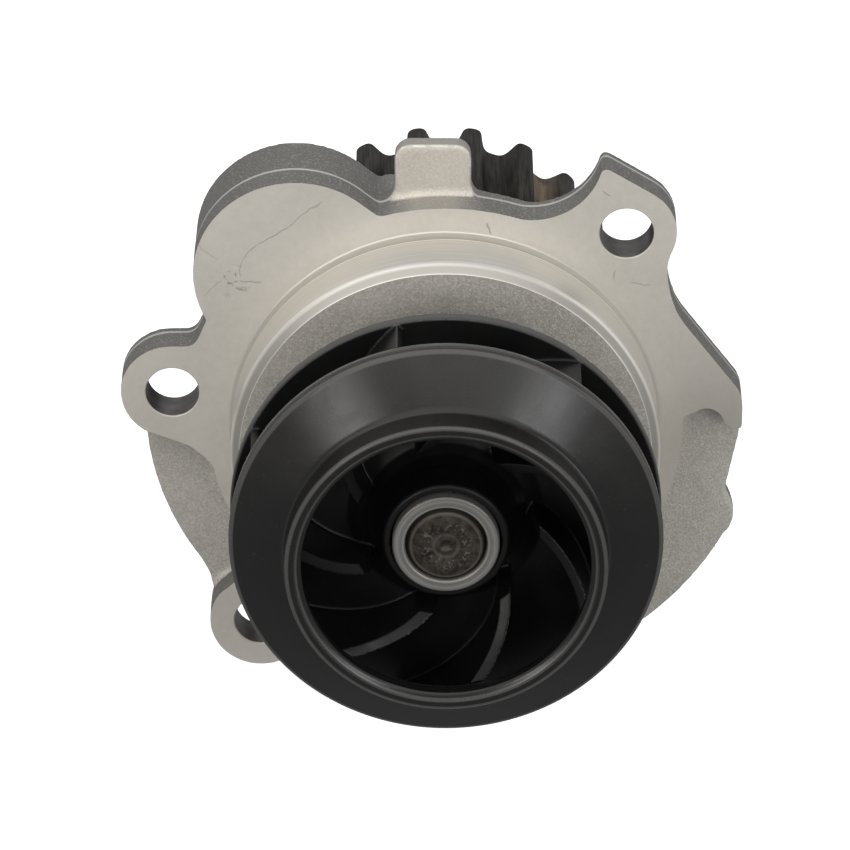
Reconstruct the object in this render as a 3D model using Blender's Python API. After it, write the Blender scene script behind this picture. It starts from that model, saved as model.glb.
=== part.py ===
"""A belt-driven water pump with a closed impeller, as separate parts at rest.

The pump axis is the world Y axis. The machined sealing face of the flange lies in the plane Y = 0, the
impeller points to -Y and the belt pulley to +Y. Z is up. Lengths are written in millimetres times MM.
"""

from math import atan2, cos, degrees, hypot, pi, radians, sin

import bmesh
import bpy
from mathutils import Vector

MM = 0.001
FIT = 0.3 * MM  # the gap that two touching pieces keep

# Sides of a turned piece, by its size
LARGE = 56
MEDIUM = 36
SMALL = 28

# Flange and its cast plate
RING_RADIUS = 37.4 * MM
EAR_DEPTH = 6.8 * MM
FLANGE_DEPTH = 8.5 * MM
PLATE_FRONT = 4.8 * MM
PLATE_LEFT_RADIUS = 47.4 * MM
PLATE_RIGHT_RADIUS = 49.9 * MM
BOLT_HOLE_RADIUS = 4.2 * MM
EAR_LEFT = (-42.8 * MM, 5.8 * MM)
EAR_RIGHT = (28.0 * MM, 33.5 * MM)
EAR_LOWER = (-29.5 * MM, -35.4 * MM)
EAR_LEFT_RADIUS = 8.1 * MM
EAR_RIGHT_RADIUS = 7.8 * MM
EAR_LOWER_RADIUS = 8.1 * MM
BOLT_SEAT_RADIUS = 7.4 * MM
BOLT_SEAT = EAR_DEPTH - 0.2 * MM

# Leak reservoir, in the round lobe at the upper left
LOBE = (-23.2 * MM, 26.2 * MM)
LOBE_RADIUS = 16.0 * MM
LOBE_DEPTH = 15.2 * MM
RESERVOIR_RADIUS = 12.6 * MM
RESERVOIR_FLOOR = 3.6 * MM

# Spigot, bores and bearing boss
SPIGOT_RADIUS = 33.5 * MM
SPIGOT_NOSE = -11.3 * MM
SEAL_SEAT = -8.5 * MM
SEAL_BORE_END = -1.5 * MM
LEAK_CHAMBER_RADIUS = 13.0 * MM
BEARING_FRONT = 4.0 * MM
BEARING_REAR = 42.0 * MM
BEARING_RADIUS = 15.0 * MM
HOUSING_BORE = BEARING_RADIUS + FIT
BOSS_RADIUS = 19.5 * MM

# Shaft and ball bearing
SHAFT_RADIUS = 8.0 * MM
NOSE_RADIUS = 6.0 * MM
SHAFT_FRONT = -39.0 * MM
SHAFT_STEP = -1.0 * MM
SHAFT_REAR = 51.4 * MM
BALL_RADIUS = 3.175 * MM
BALL_PITCH_RADIUS = 10.0 * MM
BALLS_PER_ROW = 7
RACE_RADIUS = BALL_RADIUS + 0.22 * MM
BALL_ROWS = {"front": 12.5 * MM, "rear": 33.5 * MM}
RING_BORE = 12.0 * MM
LIP_SEAL_SEAT = 13.1 * MM
LIP_SEAL_DEPTH = 2.6 * MM

# Impeller
IMPELLER_RADIUS = 33.0 * MM
DISC_FRONT = -28.0 * MM
DISC_REAR = -26.0 * MM
EYE_RADIUS = 21.8 * MM
EYE_FRONT = -46.6 * MM
VANE_COUNT = 7
VANE_START = radians(206)
VANE_SWEEP = radians(2.93) / MM  # turn of a vane for each metre further out
VANE_INNER = 14.4 * MM
VANE_THICKNESS = 2.0 * MM
INSERT_RADIUS = 8.15 * MM
INSERT_FRONT = -38.7 * MM
INSERT_REAR = -22.7 * MM

# Belt pulley
TEETH = 19
TOOTH_TIP_RADIUS = 28.1 * MM
TOOTH_ROOT_RADIUS = 24.45 * MM
PULLEY_FRONT = 23.0 * MM
PULLEY_REAR = 51.0 * MM
RIM_BORE = 21.9 * MM
WEB_FRONT = 45.0 * MM
WEB_REAR = 49.5 * MM


def clear_scene():
    for item in list(bpy.data.objects):
        bpy.data.objects.remove(item, do_unlink=True)


def make_material(name, colour, roughness, metallic):
    material = bpy.data.materials.new(name)
    material.use_nodes = True
    shader = material.node_tree.nodes["Principled BSDF"]
    shader.inputs["Base Color"].default_value = (*colour, 1.0)
    shader.inputs["Roughness"].default_value = roughness
    shader.inputs["Metallic"].default_value = metallic
    material.diffuse_color = (*colour, 1.0)
    return material


def add_object(name, mesh_data, material, parent=None):
    if isinstance(mesh_data, bmesh.types.BMesh):
        mesh = bpy.data.meshes.new(name)
        mesh_data.to_mesh(mesh)
        mesh_data.free()
        mesh.shade_smooth()
        mesh.set_sharp_from_angle(angle=radians(32))
    else:
        mesh = mesh_data
    item = bpy.data.objects.new(name, mesh)
    if material and not mesh.materials:
        mesh.materials.append(material)
    bpy.context.scene.collection.objects.link(item)
    item.parent = parent
    return item


def add_empty(name):
    empty = bpy.data.objects.new(name, None)
    bpy.context.scene.collection.objects.link(empty)
    return empty


def combine(target, other, operation):
    """A Boolean with a helper object, which stays hidden and out of the model."""
    other.hide_render = True
    other.display_type = "WIRE"
    modifier = target.modifiers.new(other.name, "BOOLEAN")
    modifier.operation = operation
    modifier.object = other
    modifier.solver = "EXACT"


def arc(centre, radius, start, end, steps):
    """Points round a centre in the XZ plane, from one angle in degrees to another."""
    angles = [radians(start + (end - start) * i / steps) for i in range(steps + 1)]
    return [(centre[0] + radius * cos(a), centre[1] + radius * sin(a)) for a in angles]


def in_mm(*points):
    return [(x * MM, z * MM) for x, z in points]


def ring(profile, segments):
    """A turned piece round the Y axis, from a closed profile of (radius, y) points off the axis."""
    bm = bmesh.new()
    corners = [bm.verts.new((radius, y, 0)) for radius, y in profile]
    edges = [bm.edges.new((corners[i - 1], corners[i])) for i in range(len(corners))]
    bmesh.ops.spin(bm, geom=corners + edges, axis=(0, 1, 0), angle=2 * pi, steps=segments, use_merge=True)
    bmesh.ops.remove_doubles(bm, verts=bm.verts, dist=1e-6)
    bmesh.ops.recalc_face_normals(bm, faces=bm.faces)
    return bm


def turned_solid(profile, segments):
    """A turned piece whose profile starts and ends on the Y axis."""
    bm = bmesh.new()
    corners = [bm.verts.new((radius, y, 0)) for radius, y in profile]
    edges = [bm.edges.new(pair) for pair in zip(corners, corners[1:])]
    bmesh.ops.spin(bm, geom=corners + edges, axis=(0, 1, 0), angle=2 * pi, steps=segments, use_merge=True)
    bmesh.ops.remove_doubles(bm, verts=bm.verts, dist=1e-6)
    bmesh.ops.recalc_face_normals(bm, faces=bm.faces)
    return bm


def plate(outline, front, rear):
    """A flat outline in the XZ plane, drawn out along Y."""
    bm = bmesh.new()
    face = bm.faces.new([bm.verts.new((x, front, z)) for x, z in outline])
    made = bmesh.ops.extrude_face_region(bm, geom=[face])["geom"]
    moved = [item for item in made if isinstance(item, bmesh.types.BMVert)]
    bmesh.ops.translate(bm, verts=moved, vec=(0, rear - front, 0))
    bmesh.ops.recalc_face_normals(bm, faces=bm.faces)
    return bm


def rod(radius, start, end, segments):
    """A round bar from one point to another."""
    start, end = Vector(start), Vector(end)
    bm = bmesh.new()
    turn = (end - start).to_track_quat("Z", "Y").to_matrix().to_4x4()
    turn.translation = (start + end) / 2
    bmesh.ops.create_cone(
        bm, cap_ends=True, segments=segments, radius1=radius, radius2=radius,
        depth=(end - start).length, matrix=turn,
    )
    return bm


# Housing


def machined_outline():
    """The sealing face, clockwise from the left ear: lobe, top edge, right ear, wing, ring and lower ear."""
    points = arc(EAR_LEFT, EAR_LEFT_RADIUS, 237, 90, 10)
    points += in_mm((-39.9, 13.9), (-38.8, 14.5), (-38.3, 15.6))
    points += arc(LOBE, LOBE_RADIUS, 209, 47.5, 14)
    points += arc((0, 0), 37.8 * MM, 105.8, 73.2, 6)
    points += arc((13.3 * MM, 46.8 * MM), 11.0 * MM, 262, 338, 8)
    points += in_mm((24.2, 44.6), (25.2, 44.4))
    points += arc(EAR_RIGHT, EAR_RIGHT_RADIUS, 60, -29, 7)
    points += in_mm((34.4, 27.4), (34.6, 25.0), (36.0, 19.9), (37.8, 17.2), (46.0, 6.3))
    points += in_mm((46.6, 4.2), (46.7, -0.9))
    points += arc((41.0 * MM, 0.1 * MM), 2.85 * MM, 0, 138, 6)
    points += arc((0, 0), RING_RADIUS, 2.5, -122, 16)
    points += arc(EAR_LOWER, EAR_LOWER_RADIUS, -52, -218, 9)
    points += arc((0, 0), RING_RADIUS, -140, -166.5, 5)
    points += in_mm((-37.6, -6.1), (-40.3, -3.7))
    return points


def cast_outline():
    """The cast plate behind the sealing face, anticlockwise from the left ear, and its tab at the top."""
    points = arc((0, 0), PLATE_LEFT_RADIUS, 176, 214.5, 8)
    points += in_mm((-38.0, -29.2), (-37.3, -31.6))
    points += arc(EAR_LOWER, EAR_LOWER_RADIUS - 0.1 * MM, 160, 296, 9)
    points += arc((0, 0), PLATE_RIGHT_RADIUS, 240, 333.5, 14)
    points += in_mm((45.9, -20.0), (46.1, -18.0), (45.6, -15.7), (44.7, -13.9), (46.6, -3.9), (46.5, 3.0))
    points += in_mm((39.0, 12.0), (33.0, 18.0))
    points += arc((0, 0), 37.5 * MM, 58, 77, 5)
    points += in_mm((5.3, 37.9), (4.0, 40.0))
    points += arc((1.5 * MM, 43.8 * MM), 2.5 * MM, 0, 90, 4)
    points += arc((-5.4 * MM, 43.8 * MM), 2.5 * MM, 90, 180, 4)
    points += in_mm((-7.9, 40.0), (-8.9, 37.9), (-12.0, 35.4), (-30.0, 12.0))
    return points


def lobe_outline():
    """The deep part of the casting: the reservoir lobe and its web to the tab."""
    points = arc(LOBE, LOBE_RADIUS - 0.15 * MM, 209, 47.5, 14)
    points += arc((0, 0), 37.5 * MM, 105.8, 101.5, 2)
    points += in_mm((-7.5, 14.0), (-24.0, 8.0))
    return points


def rib(end, end_depth, thickness):
    """A web behind the flange, from the bearing boss out to a point of the flange."""
    length = hypot(*end)
    direction = Vector((end[0] / length, 0, end[1] / length))
    side = Vector((direction.z, 0, -direction.x)) * thickness / 2
    profile = [(10 * MM, 6 * MM), (length, 6 * MM), (length, end_depth), (21.5 * MM, 20.5 * MM), (10 * MM, 20.5 * MM)]
    bm = bmesh.new()
    face = bm.faces.new([bm.verts.new(direction * out - side + Vector((0, y, 0))) for out, y in profile])
    made = bmesh.ops.extrude_face_region(bm, geom=[face])["geom"]
    moved = [item for item in made if isinstance(item, bmesh.types.BMVert)]
    bmesh.ops.translate(bm, verts=moved, vec=side * 2)
    bmesh.ops.recalc_face_normals(bm, faces=bm.faces)
    return bm


def spigot_profile():
    return [
        (0, 3.0 * MM), (34.0 * MM, 3.0 * MM), (34.0 * MM, -0.3 * MM), (32.7 * MM, -0.5 * MM),
        (32.7 * MM, -1.6 * MM), (SPIGOT_RADIUS, -1.9 * MM), (SPIGOT_RADIUS, -9.6 * MM),
        (33.2 * MM, -10.3 * MM), (32.2 * MM, SPIGOT_NOSE + 0.1 * MM), (31.8 * MM, SPIGOT_NOSE), (0, SPIGOT_NOSE),
    ]


def bore_profile():
    """Everything that is cut out round the axis, from the dished nose to the rear end of the boss."""
    over = 1 * MM
    return [
        (0, SPIGOT_NOSE - over), (26.4 * MM, SPIGOT_NOSE - over), (24.6 * MM, SPIGOT_NOSE + 0.4 * MM),
        (19.6 * MM, SEAL_SEAT), (HOUSING_BORE, SEAL_SEAT), (HOUSING_BORE, SEAL_BORE_END),
        (LEAK_CHAMBER_RADIUS, SEAL_BORE_END), (LEAK_CHAMBER_RADIUS, BEARING_FRONT - FIT),
        (HOUSING_BORE, BEARING_FRONT - FIT), (HOUSING_BORE, BEARING_REAR - 0.9 * MM),
        (HOUSING_BORE + over, BEARING_REAR + over), (0, BEARING_REAR + over),
    ]


def boss_profile():
    """The bearing boss and the thick middle of the flange that it stands on."""
    return [
        (0, 2.0 * MM), (36.9 * MM, 2.0 * MM), (36.9 * MM, FLANGE_DEPTH), (26.0 * MM, FLANGE_DEPTH),
        (22.5 * MM, 10.5 * MM), (20.8 * MM, 15.0 * MM), (BOSS_RADIUS, BEARING_REAR - 1.0 * MM),
        (BOSS_RADIUS - 1.0 * MM, BEARING_REAR), (0, BEARING_REAR),
    ]


def make_housing(material):
    housing = add_object("pump_housing", plate(machined_outline(), 0, EAR_DEPTH), material)
    added = {
        "cast_plate": plate(cast_outline(), PLATE_FRONT, FLANGE_DEPTH - 0.1 * MM),
        "spigot": turned_solid(spigot_profile(), LARGE),
        "bearing_boss": turned_solid(boss_profile(), MEDIUM),
        "lobe": plate(lobe_outline(), 0.5 * MM, LOBE_DEPTH),
    }
    for name, end in {
        "left": [0.84 * x for x in EAR_LEFT],
        "right": [0.84 * x for x in EAR_RIGHT],
        "lower": [0.84 * x for x in EAR_LOWER],
        "far": (33.0 * MM, -27.0 * MM),
    }.items():
        added[f"rib_{name}"] = rib(end, 9.0 * MM, 5.0 * MM)
    for name, mesh in added.items():
        combine(housing, add_object(name, mesh, None), "UNION")
    cut = {"bore_cut": turned_solid(bore_profile(), MEDIUM)}
    for name, (x, z) in {"left": EAR_LEFT, "right": EAR_RIGHT, "lower": EAR_LOWER}.items():
        cut[f"bolt_hole_{name}"] = rod(BOLT_HOLE_RADIUS, (x, -2 * MM, z), (x, 12 * MM, z), 20)
        cut[f"bolt_seat_{name}"] = rod(BOLT_SEAT_RADIUS, (x, BOLT_SEAT, z), (x, 13 * MM, z), 20)
    cut["reservoir"] = rod(RESERVOIR_RADIUS, (LOBE[0], RESERVOIR_FLOOR, LOBE[1]), (LOBE[0], 20 * MM, LOBE[1]), SMALL)
    toward = Vector((LOBE[0], 0, LOBE[1])).normalized()
    start = toward * 11.0 * MM + Vector((0, 1.0 * MM, 0))
    end = toward * 25.5 * MM + Vector((0, 6.0 * MM, 0))
    cut["drain_passage"] = rod(1.5 * MM, start, end, 8)
    for name, mesh in cut.items():
        combine(housing, add_object(name, mesh, None), "DIFFERENCE")


def make_reservoir_cap(material):
    """A drawn steel cap, pressed into the rear of the lobe with its flat side inwards."""
    outer = RESERVOIR_RADIUS - FIT
    rear = LOBE_DEPTH - 0.4 * MM
    profile = [
        (0, rear - 3.0 * MM), (outer - 0.9 * MM, rear - 3.0 * MM), (outer, rear - 2.2 * MM), (outer, rear),
        (outer - 0.9 * MM, rear), (outer - 0.9 * MM, rear - 2.0 * MM), (0, rear - 2.0 * MM),
    ]
    cap = add_object("reservoir_cap", turned_solid(profile, SMALL), material)
    cap.location = (LOBE[0], 0, LOBE[1])


# Bearing


def race(pitch_y, side):
    """Points of a ball groove in a turned profile: side +1 is the outer ring's, -1 the shaft's."""
    steps = 4
    wall = RING_BORE if side > 0 else SHAFT_RADIUS
    half = (RACE_RADIUS ** 2 - (wall - BALL_PITCH_RADIUS) ** 2) ** 0.5
    reach = degrees(atan2(half, side * (wall - BALL_PITCH_RADIUS)))
    points = []
    for i in range(steps + 1):
        angle = radians(-reach + 2 * reach * i / steps)
        points.append((BALL_PITCH_RADIUS + side * RACE_RADIUS * cos(angle), pitch_y + RACE_RADIUS * sin(angle)))
    return points


def make_outer_ring(material):
    front, rear = BEARING_FRONT, BEARING_REAR - 0.4 * MM
    chamfer = 0.8 * MM
    profile = [(LIP_SEAL_SEAT, front), (LIP_SEAL_SEAT, front + LIP_SEAL_DEPTH), (RING_BORE, front + LIP_SEAL_DEPTH)]
    profile += race(BALL_ROWS["front"], 1)
    profile += race(BALL_ROWS["rear"], 1)
    profile += [(RING_BORE, rear - LIP_SEAL_DEPTH), (LIP_SEAL_SEAT, rear - LIP_SEAL_DEPTH), (LIP_SEAL_SEAT, rear)]
    profile += [(BEARING_RADIUS - chamfer, rear), (BEARING_RADIUS, rear - chamfer)]
    profile += [(BEARING_RADIUS, front + chamfer), (BEARING_RADIUS - chamfer, front)]
    add_object("bearing_outer_ring", ring(profile, MEDIUM - 4), material)


def make_bearing_seals(material):
    for name, y, inwards in (
        ("front", BEARING_FRONT + 0.3 * MM, 1),
        ("rear", BEARING_REAR - 0.7 * MM, -1),
    ):
        outer, lip = LIP_SEAL_SEAT - FIT, SHAFT_RADIUS + FIT
        profile = [
            (outer, y), (outer, y + inwards * 2.0 * MM), (11.4 * MM, y + inwards * 2.0 * MM),
            (11.4 * MM, y + inwards * 1.1 * MM), (9.4 * MM, y + inwards * 1.1 * MM), (lip, y + inwards * 1.7 * MM),
            (lip, y + inwards * 1.0 * MM), (9.0 * MM, y),
        ]
        add_object(f"bearing_seal_{name}", ring(profile, SMALL), material)


def make_ball_sets(steel, cage_material):
    """Two rows of balls, each held apart by a crown cage that is open towards the middle of the bearing."""
    ball = bmesh.new()
    bmesh.ops.create_uvsphere(ball, u_segments=10, v_segments=6, radius=BALL_RADIUS)
    pocket = bmesh.new()
    bmesh.ops.create_uvsphere(pocket, u_segments=10, v_segments=7, radius=BALL_RADIUS + FIT)
    ball_mesh, pocket_mesh = None, None
    for row, centre_y in BALL_ROWS.items():
        axis = add_empty(f"ball_set_{row}_axis")
        open_side = 1 if row == "front" else -1
        back, mouth = centre_y - open_side * 4.7 * MM, centre_y + open_side * 1.4 * MM
        profile = [(8.6 * MM, back), (11.4 * MM, back), (11.4 * MM, mouth), (8.6 * MM, mouth)]
        cage = add_object(f"ball_cage_{row}", ring(profile, SMALL), cage_material, axis)
        for number in range(BALLS_PER_ROW):
            angle = 2 * pi * number / BALLS_PER_ROW
            place = (BALL_PITCH_RADIUS * cos(angle), centre_y, BALL_PITCH_RADIUS * sin(angle))
            one = add_object(f"ball_{row}_{number + 1}", ball_mesh or ball, steel, axis)
            ball_mesh = one.data
            one.location = place
            hole = add_object(f"pocket_{row}_{number + 1}", pocket_mesh or pocket, None, axis)
            pocket_mesh = hole.data
            hole.location = place
            combine(cage, hole, "DIFFERENCE")


# Rotor


def make_shaft(material):
    front, chamfer = SHAFT_FRONT, 0.6 * MM
    profile = [
        (0, front + 0.5 * MM), (1.0 * MM, front), (NOSE_RADIUS - chamfer, front), (NOSE_RADIUS, front + chamfer),
        (NOSE_RADIUS, SHAFT_STEP), (SHAFT_RADIUS - 0.5 * MM, SHAFT_STEP), (SHAFT_RADIUS, SHAFT_STEP + 0.5 * MM),
    ]
    profile += race(BALL_ROWS["front"], -1)
    profile += race(BALL_ROWS["rear"], -1)
    profile += [(SHAFT_RADIUS, SHAFT_REAR - 0.8 * MM), (SHAFT_RADIUS - 0.8 * MM, SHAFT_REAR), (0, SHAFT_REAR)]
    add_object("pump_shaft", turned_solid(profile, SMALL), material)


def make_hub_insert(material):
    bore = NOSE_RADIUS + 0.2 * MM
    profile = [
        (bore, INSERT_REAR), (bore, INSERT_FRONT + 0.3 * MM), (bore + 0.3 * MM, INSERT_FRONT),
        (INSERT_RADIUS - 0.4 * MM, INSERT_FRONT), (INSERT_RADIUS, INSERT_FRONT + 0.4 * MM),
        (INSERT_RADIUS, INSERT_REAR - 0.5 * MM), (INSERT_RADIUS - 0.5 * MM, INSERT_REAR),
    ]
    add_object("impeller_hub_insert", ring(profile, SMALL), material)


def vane_outline(start):
    """One swept vane seen along the axis: an even turn for each millimetre further from the axis."""
    outer = IMPELLER_RADIUS + 0.5 * MM
    steps = 7
    centre = []
    for i in range(steps + 1):
        radius = VANE_INNER - 1.5 * MM + (outer - VANE_INNER + 1.5 * MM) * i / steps
        angle = start - VANE_SWEEP * (radius - VANE_INNER)
        centre.append(Vector((radius * cos(angle), radius * sin(angle))))
    left, right = [], []
    for i, point in enumerate(centre):
        along = (centre[min(i + 1, steps)] - centre[max(i - 1, 0)]).normalized()
        across = Vector((-along.y, along.x)) * VANE_THICKNESS / 2
        left.append(tuple(point + across))
        right.append(tuple(point - across))
    return left + right[::-1]


def shroud_inner():
    """The wet side of the shroud, from the rim to the eye."""
    return [
        (IMPELLER_RADIUS, -35.6 * MM), (30.0 * MM, -36.6 * MM), (26.5 * MM, -38.4 * MM),
        (23.6 * MM, -40.6 * MM), (22.3 * MM, -43.0 * MM),
    ]


def make_vane_disc(material):
    hub = [
        (INSERT_RADIUS + FIT, -24.0 * MM), (INSERT_RADIUS + FIT, -37.6 * MM), (9.3 * MM, -37.6 * MM),
        (9.7 * MM, -37.2 * MM), (10.3 * MM, -32.0 * MM), (12.0 * MM, -29.2 * MM), (15.0 * MM, DISC_FRONT),
        (IMPELLER_RADIUS, DISC_FRONT), (IMPELLER_RADIUS, DISC_REAR), (12.5 * MM, DISC_REAR), (12.0 * MM, -24.0 * MM),
    ]
    disc = add_object("impeller_vane_disc", ring(hub, MEDIUM + 6), material)
    vanes = bmesh.new()
    for number in range(VANE_COUNT):
        single = plate(vane_outline(VANE_START + 2 * pi * number / VANE_COUNT), DISC_FRONT + 0.8 * MM, -42.0 * MM)
        kept = bpy.data.meshes.new("vane")
        single.to_mesh(kept)
        single.free()
        vanes.from_mesh(kept)
        bpy.data.meshes.remove(kept)
    vane_group = add_object("vanes", vanes, None)
    under = [(radius, y + FIT) for radius, y in shroud_inner()]
    tip = IMPELLER_RADIUS - 0.2 * MM
    trim = [(0, -50 * MM), (40 * MM, -50 * MM), (40 * MM, -27 * MM), (tip, -27 * MM), (tip, under[0][1])]
    trim += under[1:4]
    trim += [(21.2 * MM, -38.6 * MM), (14.2 * MM, -35.0 * MM), (12.6 * MM, -31.0 * MM), (0, -31.0 * MM)]
    combine(vane_group, add_object("vane_trim", turned_solid(trim, MEDIUM + 6), None), "DIFFERENCE")
    combine(disc, vane_group, "UNION")


def make_shroud(material):
    outside = [
        (22.1 * MM, EYE_FRONT + 0.5 * MM), (22.8 * MM, EYE_FRONT + 0.3 * MM), (22.9 * MM, EYE_FRONT),
        (24.1 * MM, EYE_FRONT), (24.4 * MM, EYE_FRONT + 0.3 * MM), (24.5 * MM, -41.8 * MM),
        (IMPELLER_RADIUS - 0.2 * MM, -38.1 * MM), (IMPELLER_RADIUS, -37.8 * MM),
    ]
    eye = [(EYE_RADIUS, -45.0 * MM), (EYE_RADIUS, EYE_FRONT + 0.8 * MM)]
    add_object("impeller_shroud", ring(outside + shroud_inner() + eye, MEDIUM + 6), material)


def pulley_outline():
    """Round-bottomed belt grooves between narrow lands; a groove stands at the top."""
    pitch = 2 * pi / TEETH
    half_land = 0.17 * pitch
    depth = TOOTH_TIP_RADIUS - TOOTH_ROOT_RADIUS
    points = []
    for tooth in range(TEETH):
        middle = pi / 2 + tooth * pitch
        for share, drop in ((0, 0), (0.12, 0.62), (0.34, 0.98), (0.66, 0.98), (0.88, 0.62), (1, 0)):
            angle = middle - pitch / 2 + half_land + share * (pitch - 2 * half_land)
            points.append((angle, TOOTH_TIP_RADIUS - drop * depth))
    return [(radius * cos(angle), radius * sin(angle)) for angle, radius in points]


def make_pulley(material):
    pulley = add_object("drive_pulley", plate(pulley_outline(), PULLEY_FRONT, PULLEY_REAR), material)
    front_space = [(0, PULLEY_FRONT - MM), (RIM_BORE + MM, PULLEY_FRONT - MM), (RIM_BORE, PULLEY_FRONT + MM),
                   (RIM_BORE, WEB_FRONT - MM), (RIM_BORE - MM, WEB_FRONT), (12.0 * MM, WEB_FRONT),
                   (12.0 * MM, 43.0 * MM), (0, 43.0 * MM)]
    rear_space = [(0, PULLEY_REAR + MM), (RIM_BORE + 0.4 * MM, PULLEY_REAR + MM), (RIM_BORE, WEB_REAR),
                  (12.5 * MM, WEB_REAR), (12.0 * MM, PULLEY_REAR - 0.4 * MM), (0, PULLEY_REAR - 0.4 * MM)]
    combine(pulley, add_object("pulley_front_space", turned_solid(front_space, MEDIUM), None), "DIFFERENCE")
    combine(pulley, add_object("pulley_rear_space", turned_solid(rear_space, MEDIUM), None), "DIFFERENCE")
    bore = rod(SHAFT_RADIUS + FIT, (0, 40 * MM, 0), (0, 55 * MM, 0), SMALL)
    combine(pulley, add_object("pulley_bore", bore, None), "DIFFERENCE")
    for number in range(5):
        angle = radians(90 + 72 * number)
        place = (17.0 * MM * cos(angle), 17.0 * MM * sin(angle))
        hole = rod(3.2 * MM, (place[0], 42 * MM, place[1]), (place[0], 54 * MM, place[1]), 12)
        combine(pulley, add_object(f"web_hole_{number + 1}", hole, None), "DIFFERENCE")


# Mechanical seal


def make_seal(steel, rubber, carbon, ceramic):
    cup = [
        (10.0, -1.9), (10.0, -2.7), (14.2, -2.7), (14.2, -9.6), (18.6, -9.6), (18.6, -8.8), (15.0, -8.8), (15.0, -1.9),
    ]
    bellows = [
        (13.8, -3.0), (13.8, -3.8), (11.0, -3.8), (11.0, -5.0), (12.3, -6.3), (12.3, -7.3), (11.0, -8.6),
        (12.8, -9.2), (12.8, -13.2), (11.9, -13.2), (11.9, -10.2), (9.6, -10.2), (9.6, -8.5), (11.1, -7.1),
        (11.1, -6.5), (9.8, -5.2), (9.8, -3.0),
    ]
    face = [(9.0, -10.5), (11.6, -10.5), (11.6, -13.8), (10.9, -13.8), (10.9, -15.4), (9.2, -15.4)]
    mating = [(8.9, -15.7), (12.0, -15.7), (12.3, -16.0), (12.3, -19.5), (8.9, -19.5)]
    boot = [(7.4, -15.9), (8.6, -15.9), (8.6, -19.8), (12.3, -19.8), (12.3, -21.0), (7.4, -21.0)]
    sleeve = [(6.3, -1.4), (6.3, -22.4), (12.6, -22.4), (12.6, -21.3), (7.1, -21.3), (7.1, -1.4)]
    for name, profile, material in (
        ("seal_cup", cup, steel), ("seal_bellows", bellows, rubber), ("carbon_ring", face, carbon),
        ("mating_ring", mating, ceramic), ("mating_ring_boot", boot, rubber), ("seal_sleeve", sleeve, steel),
    ):
        add_object(name, ring(in_mm(*profile), SMALL), material)


def make_seal_spring(material):
    """Three turns of wire between the bottom of the cup and the head of the bellows."""
    turns, per_turn, coil_radius, wire = 3, 12, 13.4 * MM, 0.4 * MM
    start, end = -4.5 * MM, -8.4 * MM
    curve = bpy.data.curves.new("seal_spring", "CURVE")
    curve.dimensions = "3D"
    curve.bevel_depth = wire
    curve.bevel_resolution = 1
    curve.use_fill_caps = True
    spline = curve.splines.new("POLY")
    spline.points.add(turns * per_turn)
    for i, point in enumerate(spline.points):
        angle = 2 * pi * i / per_turn
        along = start + (end - start) * i / (turns * per_turn)
        point.co = (coil_radius * cos(angle), along, coil_radius * sin(angle), 1)
    curve.materials.append(material)
    spring = bpy.data.objects.new("seal_spring", curve)
    bpy.context.scene.collection.objects.link(spring)


clear_scene()
cast_aluminium = make_material("cast_aluminium", (0.52, 0.50, 0.47), 0.45, 0.8)
steel = make_material("ground_steel", (0.46, 0.44, 0.42), 0.28, 1.0)
plated_steel = make_material("plated_steel", (0.60, 0.58, 0.52), 0.35, 1.0)
sintered_steel = make_material("sintered_steel", (0.22, 0.20, 0.18), 0.5, 0.9)
black_plastic = make_material("black_plastic", (0.012, 0.012, 0.012), 0.38, 0.0)
black_rubber = make_material("black_rubber", (0.02, 0.02, 0.02), 0.7, 0.0)
carbon_graphite = make_material("carbon_graphite", (0.05, 0.05, 0.055), 0.4, 0.0)
silicon_carbide = make_material("silicon_carbide", (0.16, 0.16, 0.17), 0.25, 0.0)
cage_plastic = make_material("cage_plastic", (0.55, 0.42, 0.22), 0.45, 0.0)

make_housing(cast_aluminium)
make_reservoir_cap(plated_steel)
make_outer_ring(steel)
make_bearing_seals(black_rubber)
make_ball_sets(steel, cage_plastic)
make_shaft(steel)
make_hub_insert(steel)
make_vane_disc(black_plastic)
make_shroud(black_plastic)
make_pulley(sintered_steel)
make_seal(plated_steel, black_rubber, carbon_graphite, silicon_carbide)
make_seal_spring(steel)
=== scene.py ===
"""The finished look of a belt-driven water pump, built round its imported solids."""

from math import atan2, cos, hypot, pi, radians, sin

import bmesh
import bpy
from mathutils import Matrix, Vector


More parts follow.
